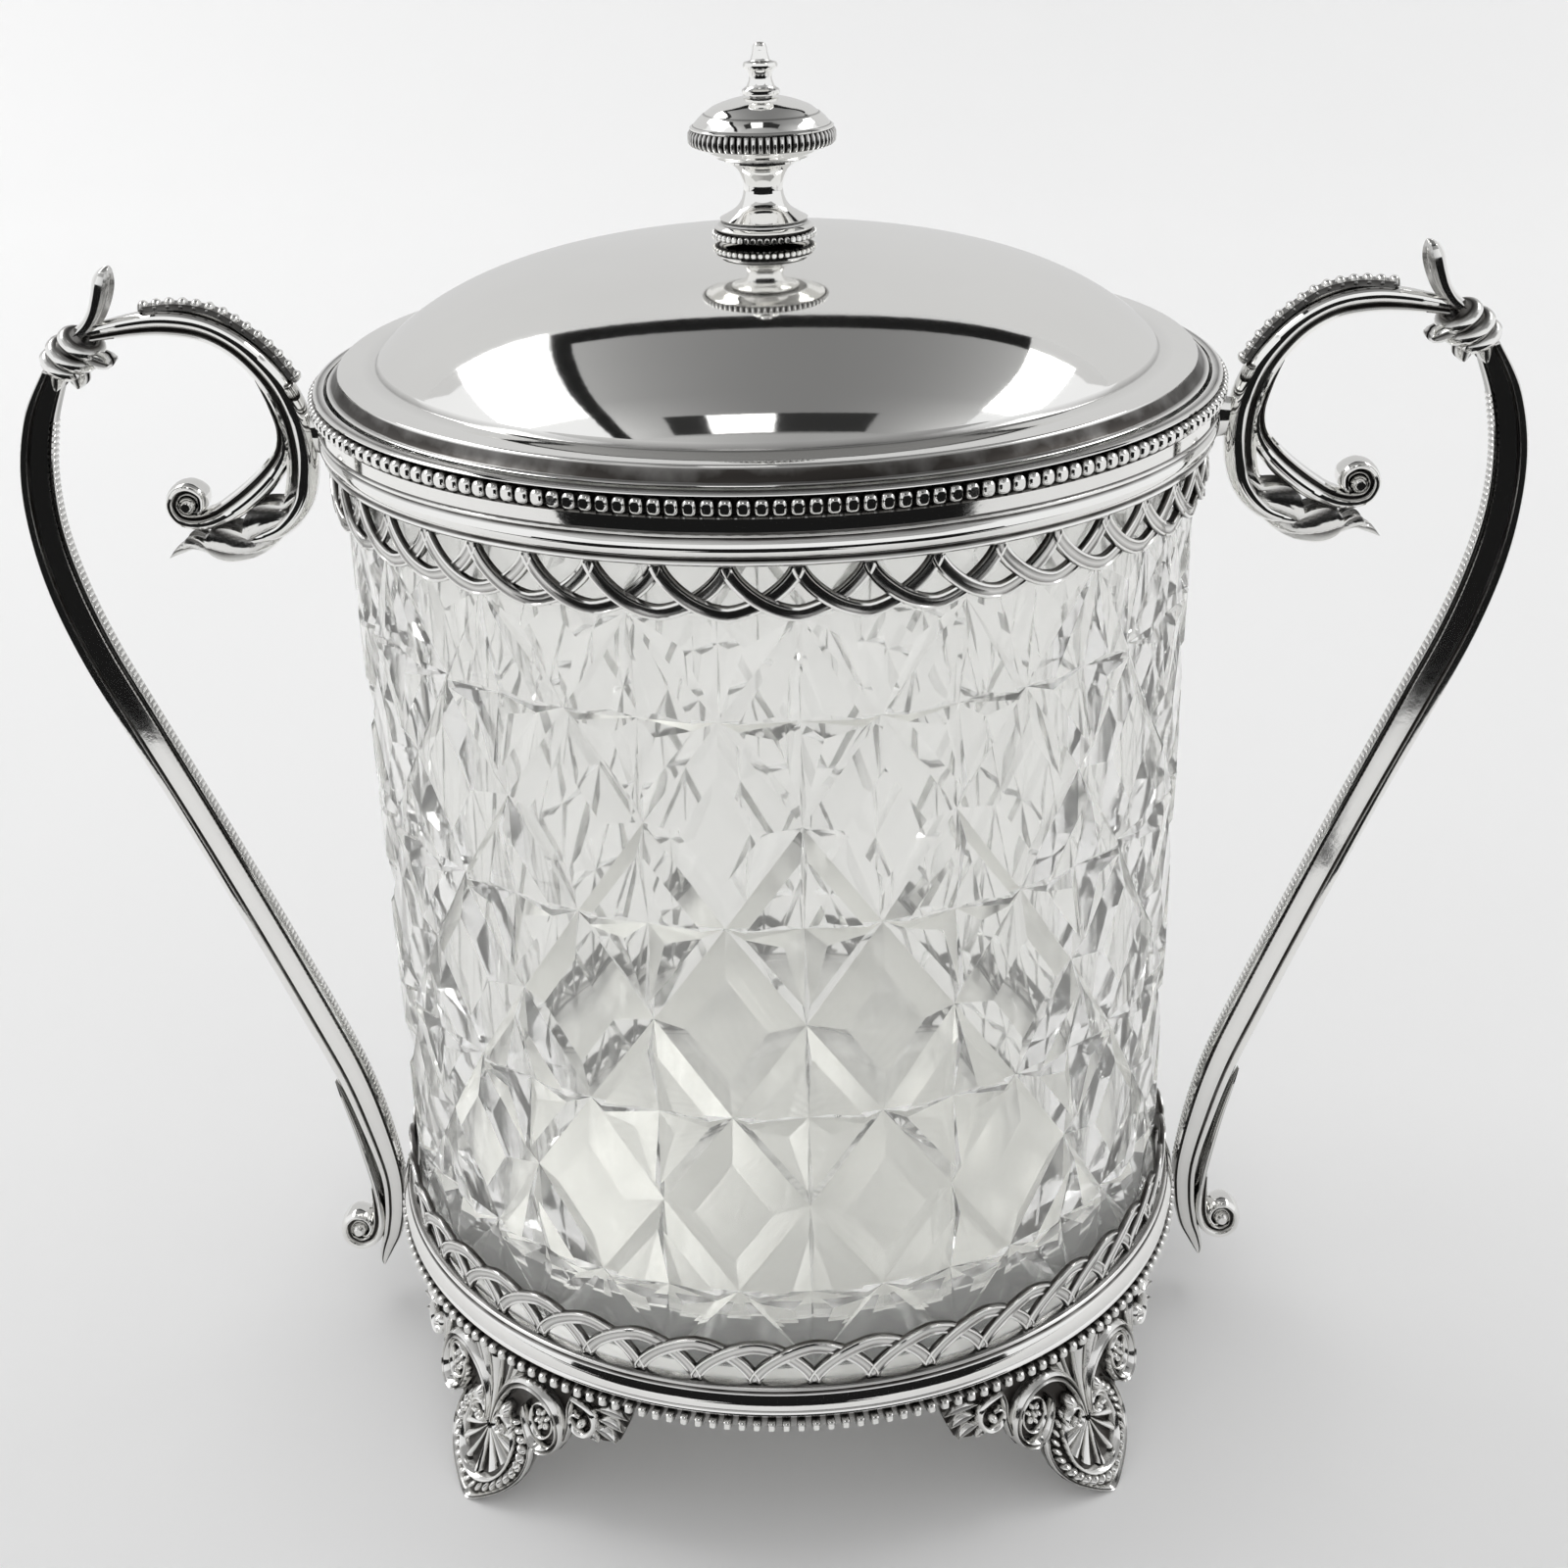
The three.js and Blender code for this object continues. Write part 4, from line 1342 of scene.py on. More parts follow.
@dataclass
class Lid:
    """The mirror-polished dome and the plain ring that centres it."""

    edge_radius: float = 67.75
    edge_bottom: float = 178.62
    top: float = 197.08
    hole: float = 1.75
    wall: float = 1.0
    flank_start: float = 40.0
    flank_share: float = 0.45

    def dome_line(self) -> list[tuple[float, ...]]:
        """Smooth outer line of the dome, from the hole out to the foot of its rise."""
        slopes = [
            (self.hole, 0.003), (12.0, 0.045), (22.0, 0.113), (35.0, 0.219), (46.0, 0.388),
            (54.0, 0.62), (58.0, 0.86), (59.7, 1.02),
        ]
        samples = through(slopes, steps=84)
        line = [(self.hole, self.top)]
        for (r, slope), (after, steeper) in zip(samples, samples[1:]):
            line.append((after, line[-1][1] - (after - r) * (slope + steeper) / 2))
        return line

    def build(self, finishes: Finishes) -> None:
        """Builds the dome and its bezel.

        Args:
            finishes: the jar's materials.
        """
        dome = self.dome_line()
        inner = []
        for r, z in dome:
            inset = self.wall * self.flank_share if r > self.flank_start else 0.0
            inner.append((r - inset, z - self.wall))
        # The brim's chamfer is given full recess, so that the finish paints it dark: painted shade for the
        # shaded gap under the lid's edge.
        brim = [
            (60.1, 181.48, 0.5), (60.4, 181.36, 0.1), (62.5, 181.26), (65.4, 181.1), (65.75, 181.02),
            (65.95, 180.85), (66.05, 180.65, 0.9), (66.95, 179.15, 1.0), (67.35, 179.0, 0.4),
            (67.6, 178.98), (self.edge_radius, 178.85), (67.6, self.edge_bottom),
        ]
        loop = [*dome, *brim, (64.3, self.edge_bottom), *reversed(inner)]
        TurnedPiece("lid_dome", Body.LID, loop, sides=256, sharp=50.0).build(finishes.polished)
        bezel = [
            (60.75, 171.9), (60.95, 171.6), (61.4, 171.6), (61.6, 171.9), (61.6, 179.5), (60.75, 179.5),
        ]
        TurnedPiece("lid_bezel", Body.LID, bezel).build(finishes.plain)


@dataclass
class Finial:
    """The turned finial on its stud: beaded collar, waist, reeded bun and spire."""

    stud: float = 1.7
    sides: int = 96
    bun_reeds: int = 64
    collar_beads: int = 46

    def reeds(self, tools: Tools, finish: bpy.types.Material) -> bpy.types.Object:
        """Makes the belt of upright reeds round the bun.

        Args:
            tools: the repeaters.
            finish: its material.

        Returns:
            The belt.
        """
        bay = Sketch()
        low, high = 211.3, 213.55
        root, inner, outer = 9.6, 10.55, 11.16
        fill = 0.8
        half = math.pi / self.bun_reeds * fill
        rows = []
        for z, share in ((low, 0.35), (low + 0.35, 0.9), (low + 0.9, 1.0), (high - 0.5, 0.95), (high, 0.35)):
            row = []
            for s in (-1.0, -0.75, -0.35, 0.0, 0.35, 0.75, 1.0):
                r = inner + (outer - inner) * share * math.sqrt(max(0.0, 1 - s * s))
                row.append(((r * math.cos(s * half), r * math.sin(s * half), z), abs(s)))
            row.append(((root, 0.0, z), 1.0))
            rows.append(row)
        bay.tube(rows)
        return tools.round.ring(bay, self.bun_reeds, finish, "finial_reeds")

    def build(self, tools: Tools, finishes: Finishes) -> None:
        """Builds the finial's pieces.

        Args:
            tools: the repeaters.
            finishes: the jar's materials.
        """
        s = self.stud
        collar = [
            (s, 197.42), (6.4, 197.42), (6.9, 197.6, 0.6), (6.9, 198.9, 1.0), (7.5, 199.05, 0.0),
            (7.55, 199.3), (7.2, 199.55), (6.7, 199.75, 0.3), (6.6, 199.98, 0.5), (s, 199.98),
        ]
        TurnedPiece("finial_collar", Body.LID, collar, self.sides).build(finishes.moulded)
        beads = BeadRow("finial_beads", "finial_bead_ring", 7.45, 198.12, self.collar_beads, body=Body.LID)
        beads.width, beads.tall, beads.proud, beads.squareness = 0.92, 1.1, 0.58, 2.6
        beads.build(tools, finishes.moulded)
        hollow = [
            (6.7, 200.45), (5.5, 201.1), (4.2, 201.95), (3.35, 203.1), (2.98, 204.6), (3.2, 206.2),
            (3.95, 207.7), (5.4, 208.75),
        ]
        waist = [
            (s, 200.3), (6.6, 200.3, 0.6),
            *through(hollow, steps=24),
            (5.75, 208.8), (5.75, 209.08), (s, 209.08),
        ]
        TurnedPiece("finial_waist", Body.LID, waist, self.sides, sharp=50.0).build(finishes.polished)
        bun = [
            (s, 209.42), (7.0, 209.42, 0.7), (7.2, 209.6),
            *through([(7.25, 209.75), (8.6, 210.3), (9.9, 210.95)], steps=8),
            (10.35, 211.1), (10.4, 211.25, 0.9), (10.4, 213.55, 1.0), (10.75, 213.65), (10.8, 213.85),
            (10.5, 214.05), (10.3, 214.1, 0.8),
            *through([(10.25, 214.2), (9.6, 214.95), (8.9, 215.6)], steps=8),
            (8.6, 215.75, 0.7),
            *through([(8.45, 215.85), (7.2, 216.7), (5.0, 217.5), (3.2, 217.95)], steps=10),
            (s, 217.98),
        ]
        knob = Sketch()
        lathe(knob, bun, self.sides)
        belt = self.reeds(tools, finishes.moulded)
        whole = joined([knob.object("finial_knob", sharp=40.0), belt], "finial_bun")
        dressed(whole, finishes.polished, Body.LID, Slot.SILVER, ["finial_bun"])
        spire = [
            (0.02, 220.2), (s, 220.2), (s, 218.3), (2.7, 218.3), (2.8, 218.5), (2.8, 219.0),
            (2.5, 219.2, 0.4),
            *through([(2.1, 219.5), (1.75, 220.4), (1.72, 221.1), (2.0, 221.9)], steps=8),
            (2.5, 222.1), (2.6, 222.5), (2.45, 222.85), (1.7, 223.0, 0.6),
            *through([(1.45, 223.2), (1.15, 224.2), (1.05, 225.0), (0.8, 225.5)], steps=8),
            (0.4, 225.68), (0.02, 225.7),
        ]
        TurnedPiece("finial_spire", Body.LID, spire, sides=48, sharp=42.0).build(finishes.polished)


# Handles


@dataclass
class Handle:
    """One scroll handle: stem, scroll, beading, knot and leaves."""

    side: int
    bead_circle: float = 70.0
    reach: float = 50.0
    knot_height: float = 181.7
    stem_size: Pair = (5.9, 5.2)
    stem_eye: Pair = (81.1, 14.9)
    tooth_count: int = 150
    tooth_half: Pair = (0.4, 1.7)
    tooth_heights: Pair = (-0.5, 0.26)
    scroll_size: Pair = (3.9, 5.0)
    scroll_eye: Pair = (93.6, 157.2)
    eye_heights: Pair = (0.0, 3.4)
    beading_size: Pair = (1.5, 2.6)
    bead_count: int = 14
    bead_half: Pair = (0.9, 1.45)
    bead_heights: Pair = (-0.6, 0.85)
    knot_centre: Pair = (108.6, 181.7)
    knot_turn: float = 45.8
    wire: float = 1.2

    def __post_init__(self) -> None:
        """Names the handle by its side."""
        self.word = "right" if self.side > 0 else "left"

    def node(self, piece: str) -> str:
        """Name of one of the handle's nodes."""
        return f"handle_{self.word}_{piece}"

    def stations(
        self, shares: Sequence[Sequence[float]], width: float, depth: float
    ) -> list[tuple[float, ...]]:
        """Turns [across, up, width, depth] shares into places and half sizes for the right-hand side.

        Args:
            shares: the stations.
            width: full width in the handle's plane.
            depth: full depth across it.

        Returns:
            [x, z, half width, half depth] rows.
        """
        return [
            (self.bead_circle + self.reach * a, self.knot_height * u, w * width / 2, d * depth / 2)
            for a, u, w, d in shares
        ]

    def stem(self, tools: Tools, finish: bpy.types.Material) -> bpy.types.Object:
        """Builds the grooved stem with its milled inner edge and its lower volute.

        Args:
            tools: the repeaters.
            finish: its material.

        Returns:
            The stem.
        """
        shares = [
            (0.8375, 0.9824, 0.62, 0.7), (0.904, 0.943, 0.84, 0.8), (0.94, 0.895, 0.93, 0.95),
            (0.941, 0.843, 0.95, 1), (0.908, 0.787, 1.02, 1), (0.841, 0.726, 1.04, 1),
            (0.744, 0.661, 1.04, 1), (0.578, 0.553, 1, 1), (0.414, 0.442, 1, 1), (0.258, 0.332, 1, 1),
            (0.174, 0.269, 0.95, 1), (0.118, 0.211, 0.87, 1), (0.077, 0.151, 0.72, 0.95),
            (0.078, 0.11, 0.66, 0.9), (0.098, 0.078, 0.58, 0.9), (0.126, 0.057, 0.44, 0.8),
            (0.146, 0.04, 0.25, 0.5), (0.152, 0.03, 0.06, 0.15),
        ]
        volute = [
            (77.4, 24.0, 0.7, 2.2), (77.1, 19.6, 1.15, 2.4), (77.3, 15.6, 1.3, 2.5),
            (78.6, 12.6, 1.3, 2.55), (81.0, 11.4, 1.25, 2.6), (83.2, 12.8, 1.2, 2.65),
            (83.4, 15.6, 1.15, 2.7), (81.8, 17.5, 1.05, 2.7), (79.7, 17.1, 0.9, 2.75),
            (79.0, 15.4, 0.7, 2.8), (79.7, 14.0, 0.4, 2.8), (80.5, 13.7, 0.15, 2.6),
        ]
        front = [
            (1.0, 0.35, 0.6), (0.95, 0.6, 0.2), (0.87, 0.66, 0.0), (0.8, 0.5, 0.9), (0.74, 0.5, 0.9),
            (0.66, 0.73, 0.1), (0.3, 0.79, 0.0), (0.0, 0.84, 0.0), (-0.3, 0.89, 0.05),
            (-0.39, 0.74, 0.95), (-0.46, 0.74, 1.0), (-0.54, 0.93, 0.1), (-0.7, 0.97, 0.0),
            (-0.86, 0.99, 0.0), (-0.97, 0.8, 0.1), (-1.0, 0.45, 0.4),
        ]
        section = [*front, *[(a, -d, r) for a, d, r in reversed(front)]]
        sketch = Sketch()
        line = self.stations(shares, *self.stem_size)
        sweep(sketch, line, section, self.side, steps=150)
        sweep(sketch, volute, self.curl_section(), self.side, steps=90)
        for face in (1, -1):
            blob(sketch, self.level_place(face), self.stem_eye, (1.6, 1.6), self.eye_heights, sides=20)
        stem = sketch.object(self.node("stem") + "_strap", sharp=30.0)
        tooth = Sketch()
        blob(tooth, level_ground, (0.0, 0.0), self.tooth_half, self.tooth_heights, sides=8)
        edge = []
        bed = 0.98
        samples = through(line[1:13], steps=160)
        for i, (x, z, wide, _) in enumerate(samples):
            nx, nz = normal_at(samples, i)
            root = (self.side * (x + nx * wide * bed), 0.0, z + nz * wide * bed)
            edge.append((root, (self.side * nx, 0.0, nz), 1.0))
        teeth = tools.path.along(edge, tooth, self.tooth_count, finish, self.node("stem") + "_teeth")
        whole = joined([stem, teeth], self.node("stem"))
        return dressed(whole, finish, Body.FRAME, Slot.SILVER, [self.node("stem")])

    def curl_section(self) -> list[tuple[float, ...]]:
        """Draws the section of the straps that end in a volute: a rounded back, a groove and an inner lip.

        Returns:
            [across, deep, recess] rows, run round the section.
        """
        front = [
            (-1.0, 0.35, 0.1), (-0.96, 0.72, 0.0), (-0.8, 0.84, 0.0), (-0.66, 0.78, 0.2),
            (-0.52, 0.58, 1.0), (-0.36, 0.58, 1.0), (-0.22, 0.82, 0.3), (0.0, 0.96, 0.0),
            (0.35, 1.0, 0.0), (0.65, 0.9, 0.0), (0.88, 0.64, 0.05), (1.0, 0.3, 0.1),
        ]
        return [*front, *[(a, -d, r) for a, d, r in reversed(front)]]

    def level_place(self, face: int) -> Place:
        """Places flat ornament on the front or the back of the handle's plane."""
        return lambda u, v, w: (self.side * u, -face * w, v)

    def scroll(self, finish: bpy.types.Material) -> bpy.types.Object:
        """Builds the C-shaped scroll with its volute and the pad that holds it to the band.

        Args:
            finish: its material.

        Returns:
            The scroll.
        """
        shares = [
            (0.7068, 1.0175, 0.62, 0.7), (0.572, 1.024, 0.85, 0.85), (0.46, 1.026, 1, 1),
            (0.352, 1.021, 1, 1), (0.262, 1.008, 1, 1), (0.19, 0.989, 1.05, 1),
            (0.134, 0.966, 1.15, 1), (0.098, 0.937, 1.25, 1), (0.09, 0.901, 1.25, 1),
            (0.116, 0.868, 1.2, 1), (0.18, 0.846, 1.05, 0.95), (0.26, 0.836, 0.8, 0.85),
            (0.34, 0.831, 0.4, 0.5),
        ]
        inner = [
            (80.5, 177.0, 0.12, 0.5), (78.5, 173.3, 0.55, 1.4), (77.1, 169.3, 0.95, 2.0),
            (77.3, 165.7, 1.45, 2.35), (79.4, 162.4, 1.85, 2.45), (82.6, 159.3, 2.0, 2.5),
            (86.3, 156.6, 1.95, 2.55), (89.8, 154.8, 1.65, 2.55), (92.8, 154.3, 1.35, 2.6),
            (95.2, 155.0, 1.2, 2.65), (96.2, 157.2, 1.15, 2.7), (95.2, 159.3, 1.1, 2.75),
            (93.2, 159.9, 1.0, 2.75), (91.4, 158.8, 0.9, 2.8), (91.3, 157.0, 0.65, 2.8),
            (92.0, 156.1, 0.3, 2.6),
        ]
        sketch = Sketch()
        sweep(sketch, self.stations(shares, *self.scroll_size), self.curl_section(), self.side, steps=130)
        sweep(sketch, inner, self.curl_section(), self.side, steps=130)
        for face in (1, -1):
            blob(sketch, self.level_place(face), self.scroll_eye, (1.55, 1.55), self.eye_heights, sides=20)
            pad = [(70.35, 168.2, 3.4), (72.6, 168.2, 3.0)]
            strip(sketch, self.level_place(face), through(pad, steps=4), (0.0, 1.5))
        scroll = sketch.object(self.node("scroll"), sharp=32.0)
        return dressed(scroll, finish, Body.FRAME, Slot.SILVER, [self.node("scroll")])

    def beading(self, tools: Tools, finish: bpy.types.Material) -> bpy.types.Object:
        """Builds the row of transverse beads on the back of the scroll.

        Args:
            tools: the repeaters.
            finish: its material.

        Returns:
            The beading.
        """
        shares = [
            (0.53, 1.0395, 1, 1), (0.42, 1.0415, 1, 1), (0.31, 1.0355, 1, 1), (0.22, 1.0195, 1, 1),
            (0.145, 1.0005, 1, 1), (0.083, 0.977, 1, 1),
        ]
        line = self.stations(shares, *self.beading_size)
        base = Sketch()
        ground = [(x, z, 0.9, 1.4) for x, z, _, _ in line]
        flat = [(-1.0, 0.9, 0.6), (0.1, 1.0, 0.9), (0.1, -1.0, 0.9), (-1.0, -0.9, 0.6)]
        sweep(base, ground, flat, self.side, steps=60)
        bead = Sketch()
        blob(bead, level_ground, (0.0, 0.0), self.bead_half, self.bead_heights, sides=14)
        samples = through(line, steps=60)
        path = []
        for i, (x, z, _, _) in enumerate(samples):
            nx, nz = normal_at(samples, i)
            path.append(((self.side * x, 0.0, z), (self.side * nx, 0.0, nz), 1.0))
        row = tools.path.along(path, bead, self.bead_count, finish, self.node("beading"))
        strap = base.object(self.node("beading") + "_base", sharp=30.0)
        whole = joined([row, strap], self.node("beading"))
        return dressed(whole, finish, Body.FRAME, Slot.SILVER, [self.node("beading")])

    def knot(self, finish: bpy.types.Material) -> bpy.types.Object:
        """Builds the knot of three slanting wraps.

        Args:
            finish: its material.

        Returns:
            The knot.
        """
        sketch = Sketch()
        turns, sides, core_sides = 40, 12, 24
        across, up = self.knot_centre
        centre = Vector((self.side * across, 0.0, up))
        turn = Matrix.Rotation(-self.side * math.radians(self.knot_turn), 4, "Y")
        for offset, radius, tilt in ((-2.3, 2.55, 0.28), (0.0, 2.95, 0.3), (2.3, 2.55, 0.28)):
            lean = Matrix.Rotation(self.side * tilt, 4, "Y") @ Matrix.Rotation(tilt, 4, "X")
            rows = []
            for i in range(turns):
                angle = 2 * math.pi * i / turns
                row = []
                for j in range(sides):
                    around = 2 * math.pi * j / sides
                    ridge = 1.0 + 0.06 * math.cos(3 * around)
                    r = radius + self.wire * ridge * math.cos(around)
                    z = self.wire * ridge * math.sin(around)
                    local = Vector((r * math.cos(angle), r * math.sin(angle), z))
                    point = centre + turn @ (lean @ local + Vector((0.0, 0.0, offset)))
                    row.append((tuple(point), abs(math.sin(around)) ** 3))
                rows.append(row)
            sketch.grid(rows, closed_row=True, closed_ends=True)
        core = []
        for z, r in ((-3.5, 0.6), (-3.45, 2.3), (0.0, 2.9), (3.45, 2.3), (3.5, 0.6)):
            row = []
            for i in range(core_sides):
                angle = 2 * math.pi * i / core_sides
                point = centre + turn @ Vector((r * math.cos(angle), r * math.sin(angle), z))
                row.append((tuple(point), 0.9))
            core.append(row)
        sketch.tube(core)
        for face in (1, -1):
            place = self.level_place(face)
            for tail in (
                [(106.0, 181.5, 1.3), (104.4, 180.8, 1.4), (103.1, 180.4, 1.1), (102.5, 180.4, 0.4)],
                [(108.6, 179.6, 1.3), (108.1, 178.3, 1.4), (107.8, 177.2, 1.0), (107.7, 176.7, 0.4)],
                [(110.8, 179.6, 1.2), (111.2, 178.2, 1.3), (111.3, 176.9, 0.9), (111.3, 176.4, 0.3)],
            ):
                strip(sketch, place, through(tail, steps=10), (0.4, 2.9), groove=0.25)
        knot = sketch.object(self.node("knot"), sharp=40.0)
        return dressed(knot, finish, Body.FRAME, Slot.SILVER, [self.node("knot")])

    def leaf(
        self,
        piece: str,
        line: Sequence[Sequence[float]],
        curl: float,
        finish: bpy.types.Material,
    ) -> bpy.types.Object:
        """Builds one veined leaf that wraps round its strap.

        Args:
            piece: the leaf's name.
            line: [x, z, half thickness, half width across] rows along its rib.
            curl: how far its edges bend back, as a share of its half width; below 0 they bend forwards.
            finish: its material.

        Returns:
            The leaf.
        """
        sketch = Sketch()
        steps, half = 48, 10
        samples = through(line, steps)
        rows = []
        for i, (x, z, thick, wide) in enumerate(samples):
            nx, nz = normal_at(samples, i)
            front, back = [], []
            for j in range(-half, half + 1):
                s = j / half
                vein = (0.5 + 0.5 * math.cos(5 * math.pi * s * s)) * min(1.0, abs(s) * 4)
                rib = max(0.0, 1 - abs(s) * 6)
                lift = curl * wide * s * s
                skin = thick * (0.75 - 0.35 * vein + 0.3 * rib) * (1 - 0.55 * abs(s) ** 3)
                y = s * wide
                fx, fz = x + nx * (lift + skin), z + nz * (lift + skin)
                bx, bz = x + nx * (lift - skin * 0.6), z + nz * (lift - skin * 0.6)
                front.append(((self.side * fx, y, fz), 0.85 * vein))
                back.append(((self.side * bx, y, bz), 0.4))
            rows.append([*front, *reversed(back)])
        sketch.tube(rows)
        leaf = sketch.object(self.node(piece), sharp=45.0)
        return dressed(leaf, finish, Body.FRAME, Slot.SILVER, [self.node(piece)])

    def wrap(self, piece: str, finish: bpy.types.Material) -> bpy.types.Object:
        """Builds the veined leaf that holds the scroll's volute from below.

        Args:
            piece: the leaf's name.
            finish: its material.

        Returns:
            The leaf.
        """
        line = [
            (74.0, 163.6, 1.4, 1.5, 0.6), (76.8, 160.9, 3.6, 2.6, 1.1), (81.2, 158.2, 6.0, 3.05, 1.5),
            (85.4, 155.4, 7.0, 3.2, 1.55), (89.2, 153.6, 6.6, 3.2, 1.55), (92.6, 152.9, 4.7, 3.0, 1.5),
            (95.2, 151.7, 2.9, 2.4, 1.4), (97.1, 149.8, 1.6, 1.6, 1.3), (98.4, 148.0, 0.3, 0.3, 1.0),
        ]
        steps, half, lobes = 72, 14, 5
        sketch = Sketch()
        rows = []
        samples = through(line, steps)
        for i, (x, z, ra, rb, spread) in enumerate(samples):
            nx, nz = normal_at(samples, i)
            phase = lobes * i / steps
            reach = spread * (0.74 + 0.26 * abs(math.sin(math.pi * phase)) ** 0.6)
            outer, inner = [], []
            for j in range(-half, half + 1):
                s = j / half
                angle = reach * s
                vein = (0.5 + 0.5 * math.cos(2 * math.pi * (phase - 1.6 * abs(s)))) ** 2
                vein *= min(1.0, abs(s) * 4)
                rib = max(0.0, 1 - abs(s) * 5)
                grow = 1.0 - 0.16 * vein + 0.05 * rib
                for skin, row, recess in ((1.0, outer, 0.9 * vein), (0.72, inner, 0.6)):
                    out, deep = ra * grow * skin * math.cos(angle), rb * grow * skin * math.sin(angle)
                    row.append(((self.side * (x + nx * out), deep, z + nz * out), recess))
            rows.append([*outer, *reversed(inner)])
        sketch.tube(rows)
        leaf = sketch.object(self.node(piece), sharp=45.0)
        return dressed(leaf, finish, Body.FRAME, Slot.SILVER, [self.node(piece)])

    def build(self, tools: Tools, finishes: Finishes) -> None:
        """Builds the whole handle.

        Args:
            tools: the repeaters.
            finishes: the jar's materials.
        """
        self.stem(tools, finishes.moulded)
        self.scroll(finishes.moulded)
        self.beading(tools, finishes.cast)
        self.knot(finishes.cast)
        thumb = [
            (107.2, 184.2, 1.4, 1.9), (105.1, 185.8, 1.55, 2.3), (103.5, 187.9, 1.75, 2.6),
            (102.4, 190.3, 2.0, 2.8), (101.7, 192.5, 2.05, 2.7), (101.3, 194.0, 1.55, 2.2),
            (101.15, 194.8, 0.85, 1.3), (101.1, 195.1, 0.2, 0.4),
        ]
        self.leaf("thumb_leaf", thumb, curl=0.1, finish=finishes.moulded)
        self.wrap("scroll_leaf", finishes.cast)
        lower = [
            (82.4, 46.9, 0.15, 0.5), (81.2, 43.4, 0.5, 1.6), (79.6, 37.6, 0.7, 2.2),
            (78.3, 31.2, 0.85, 2.4), (77.35, 25.6, 0.95, 2.45), (76.9, 21.0, 0.95, 2.4),
            (76.95, 18.6, 0.7, 2.0),
        ]
        self.leaf("lower_leaf", lower, curl=-0.06, finish=finishes.moulded)


# Feet


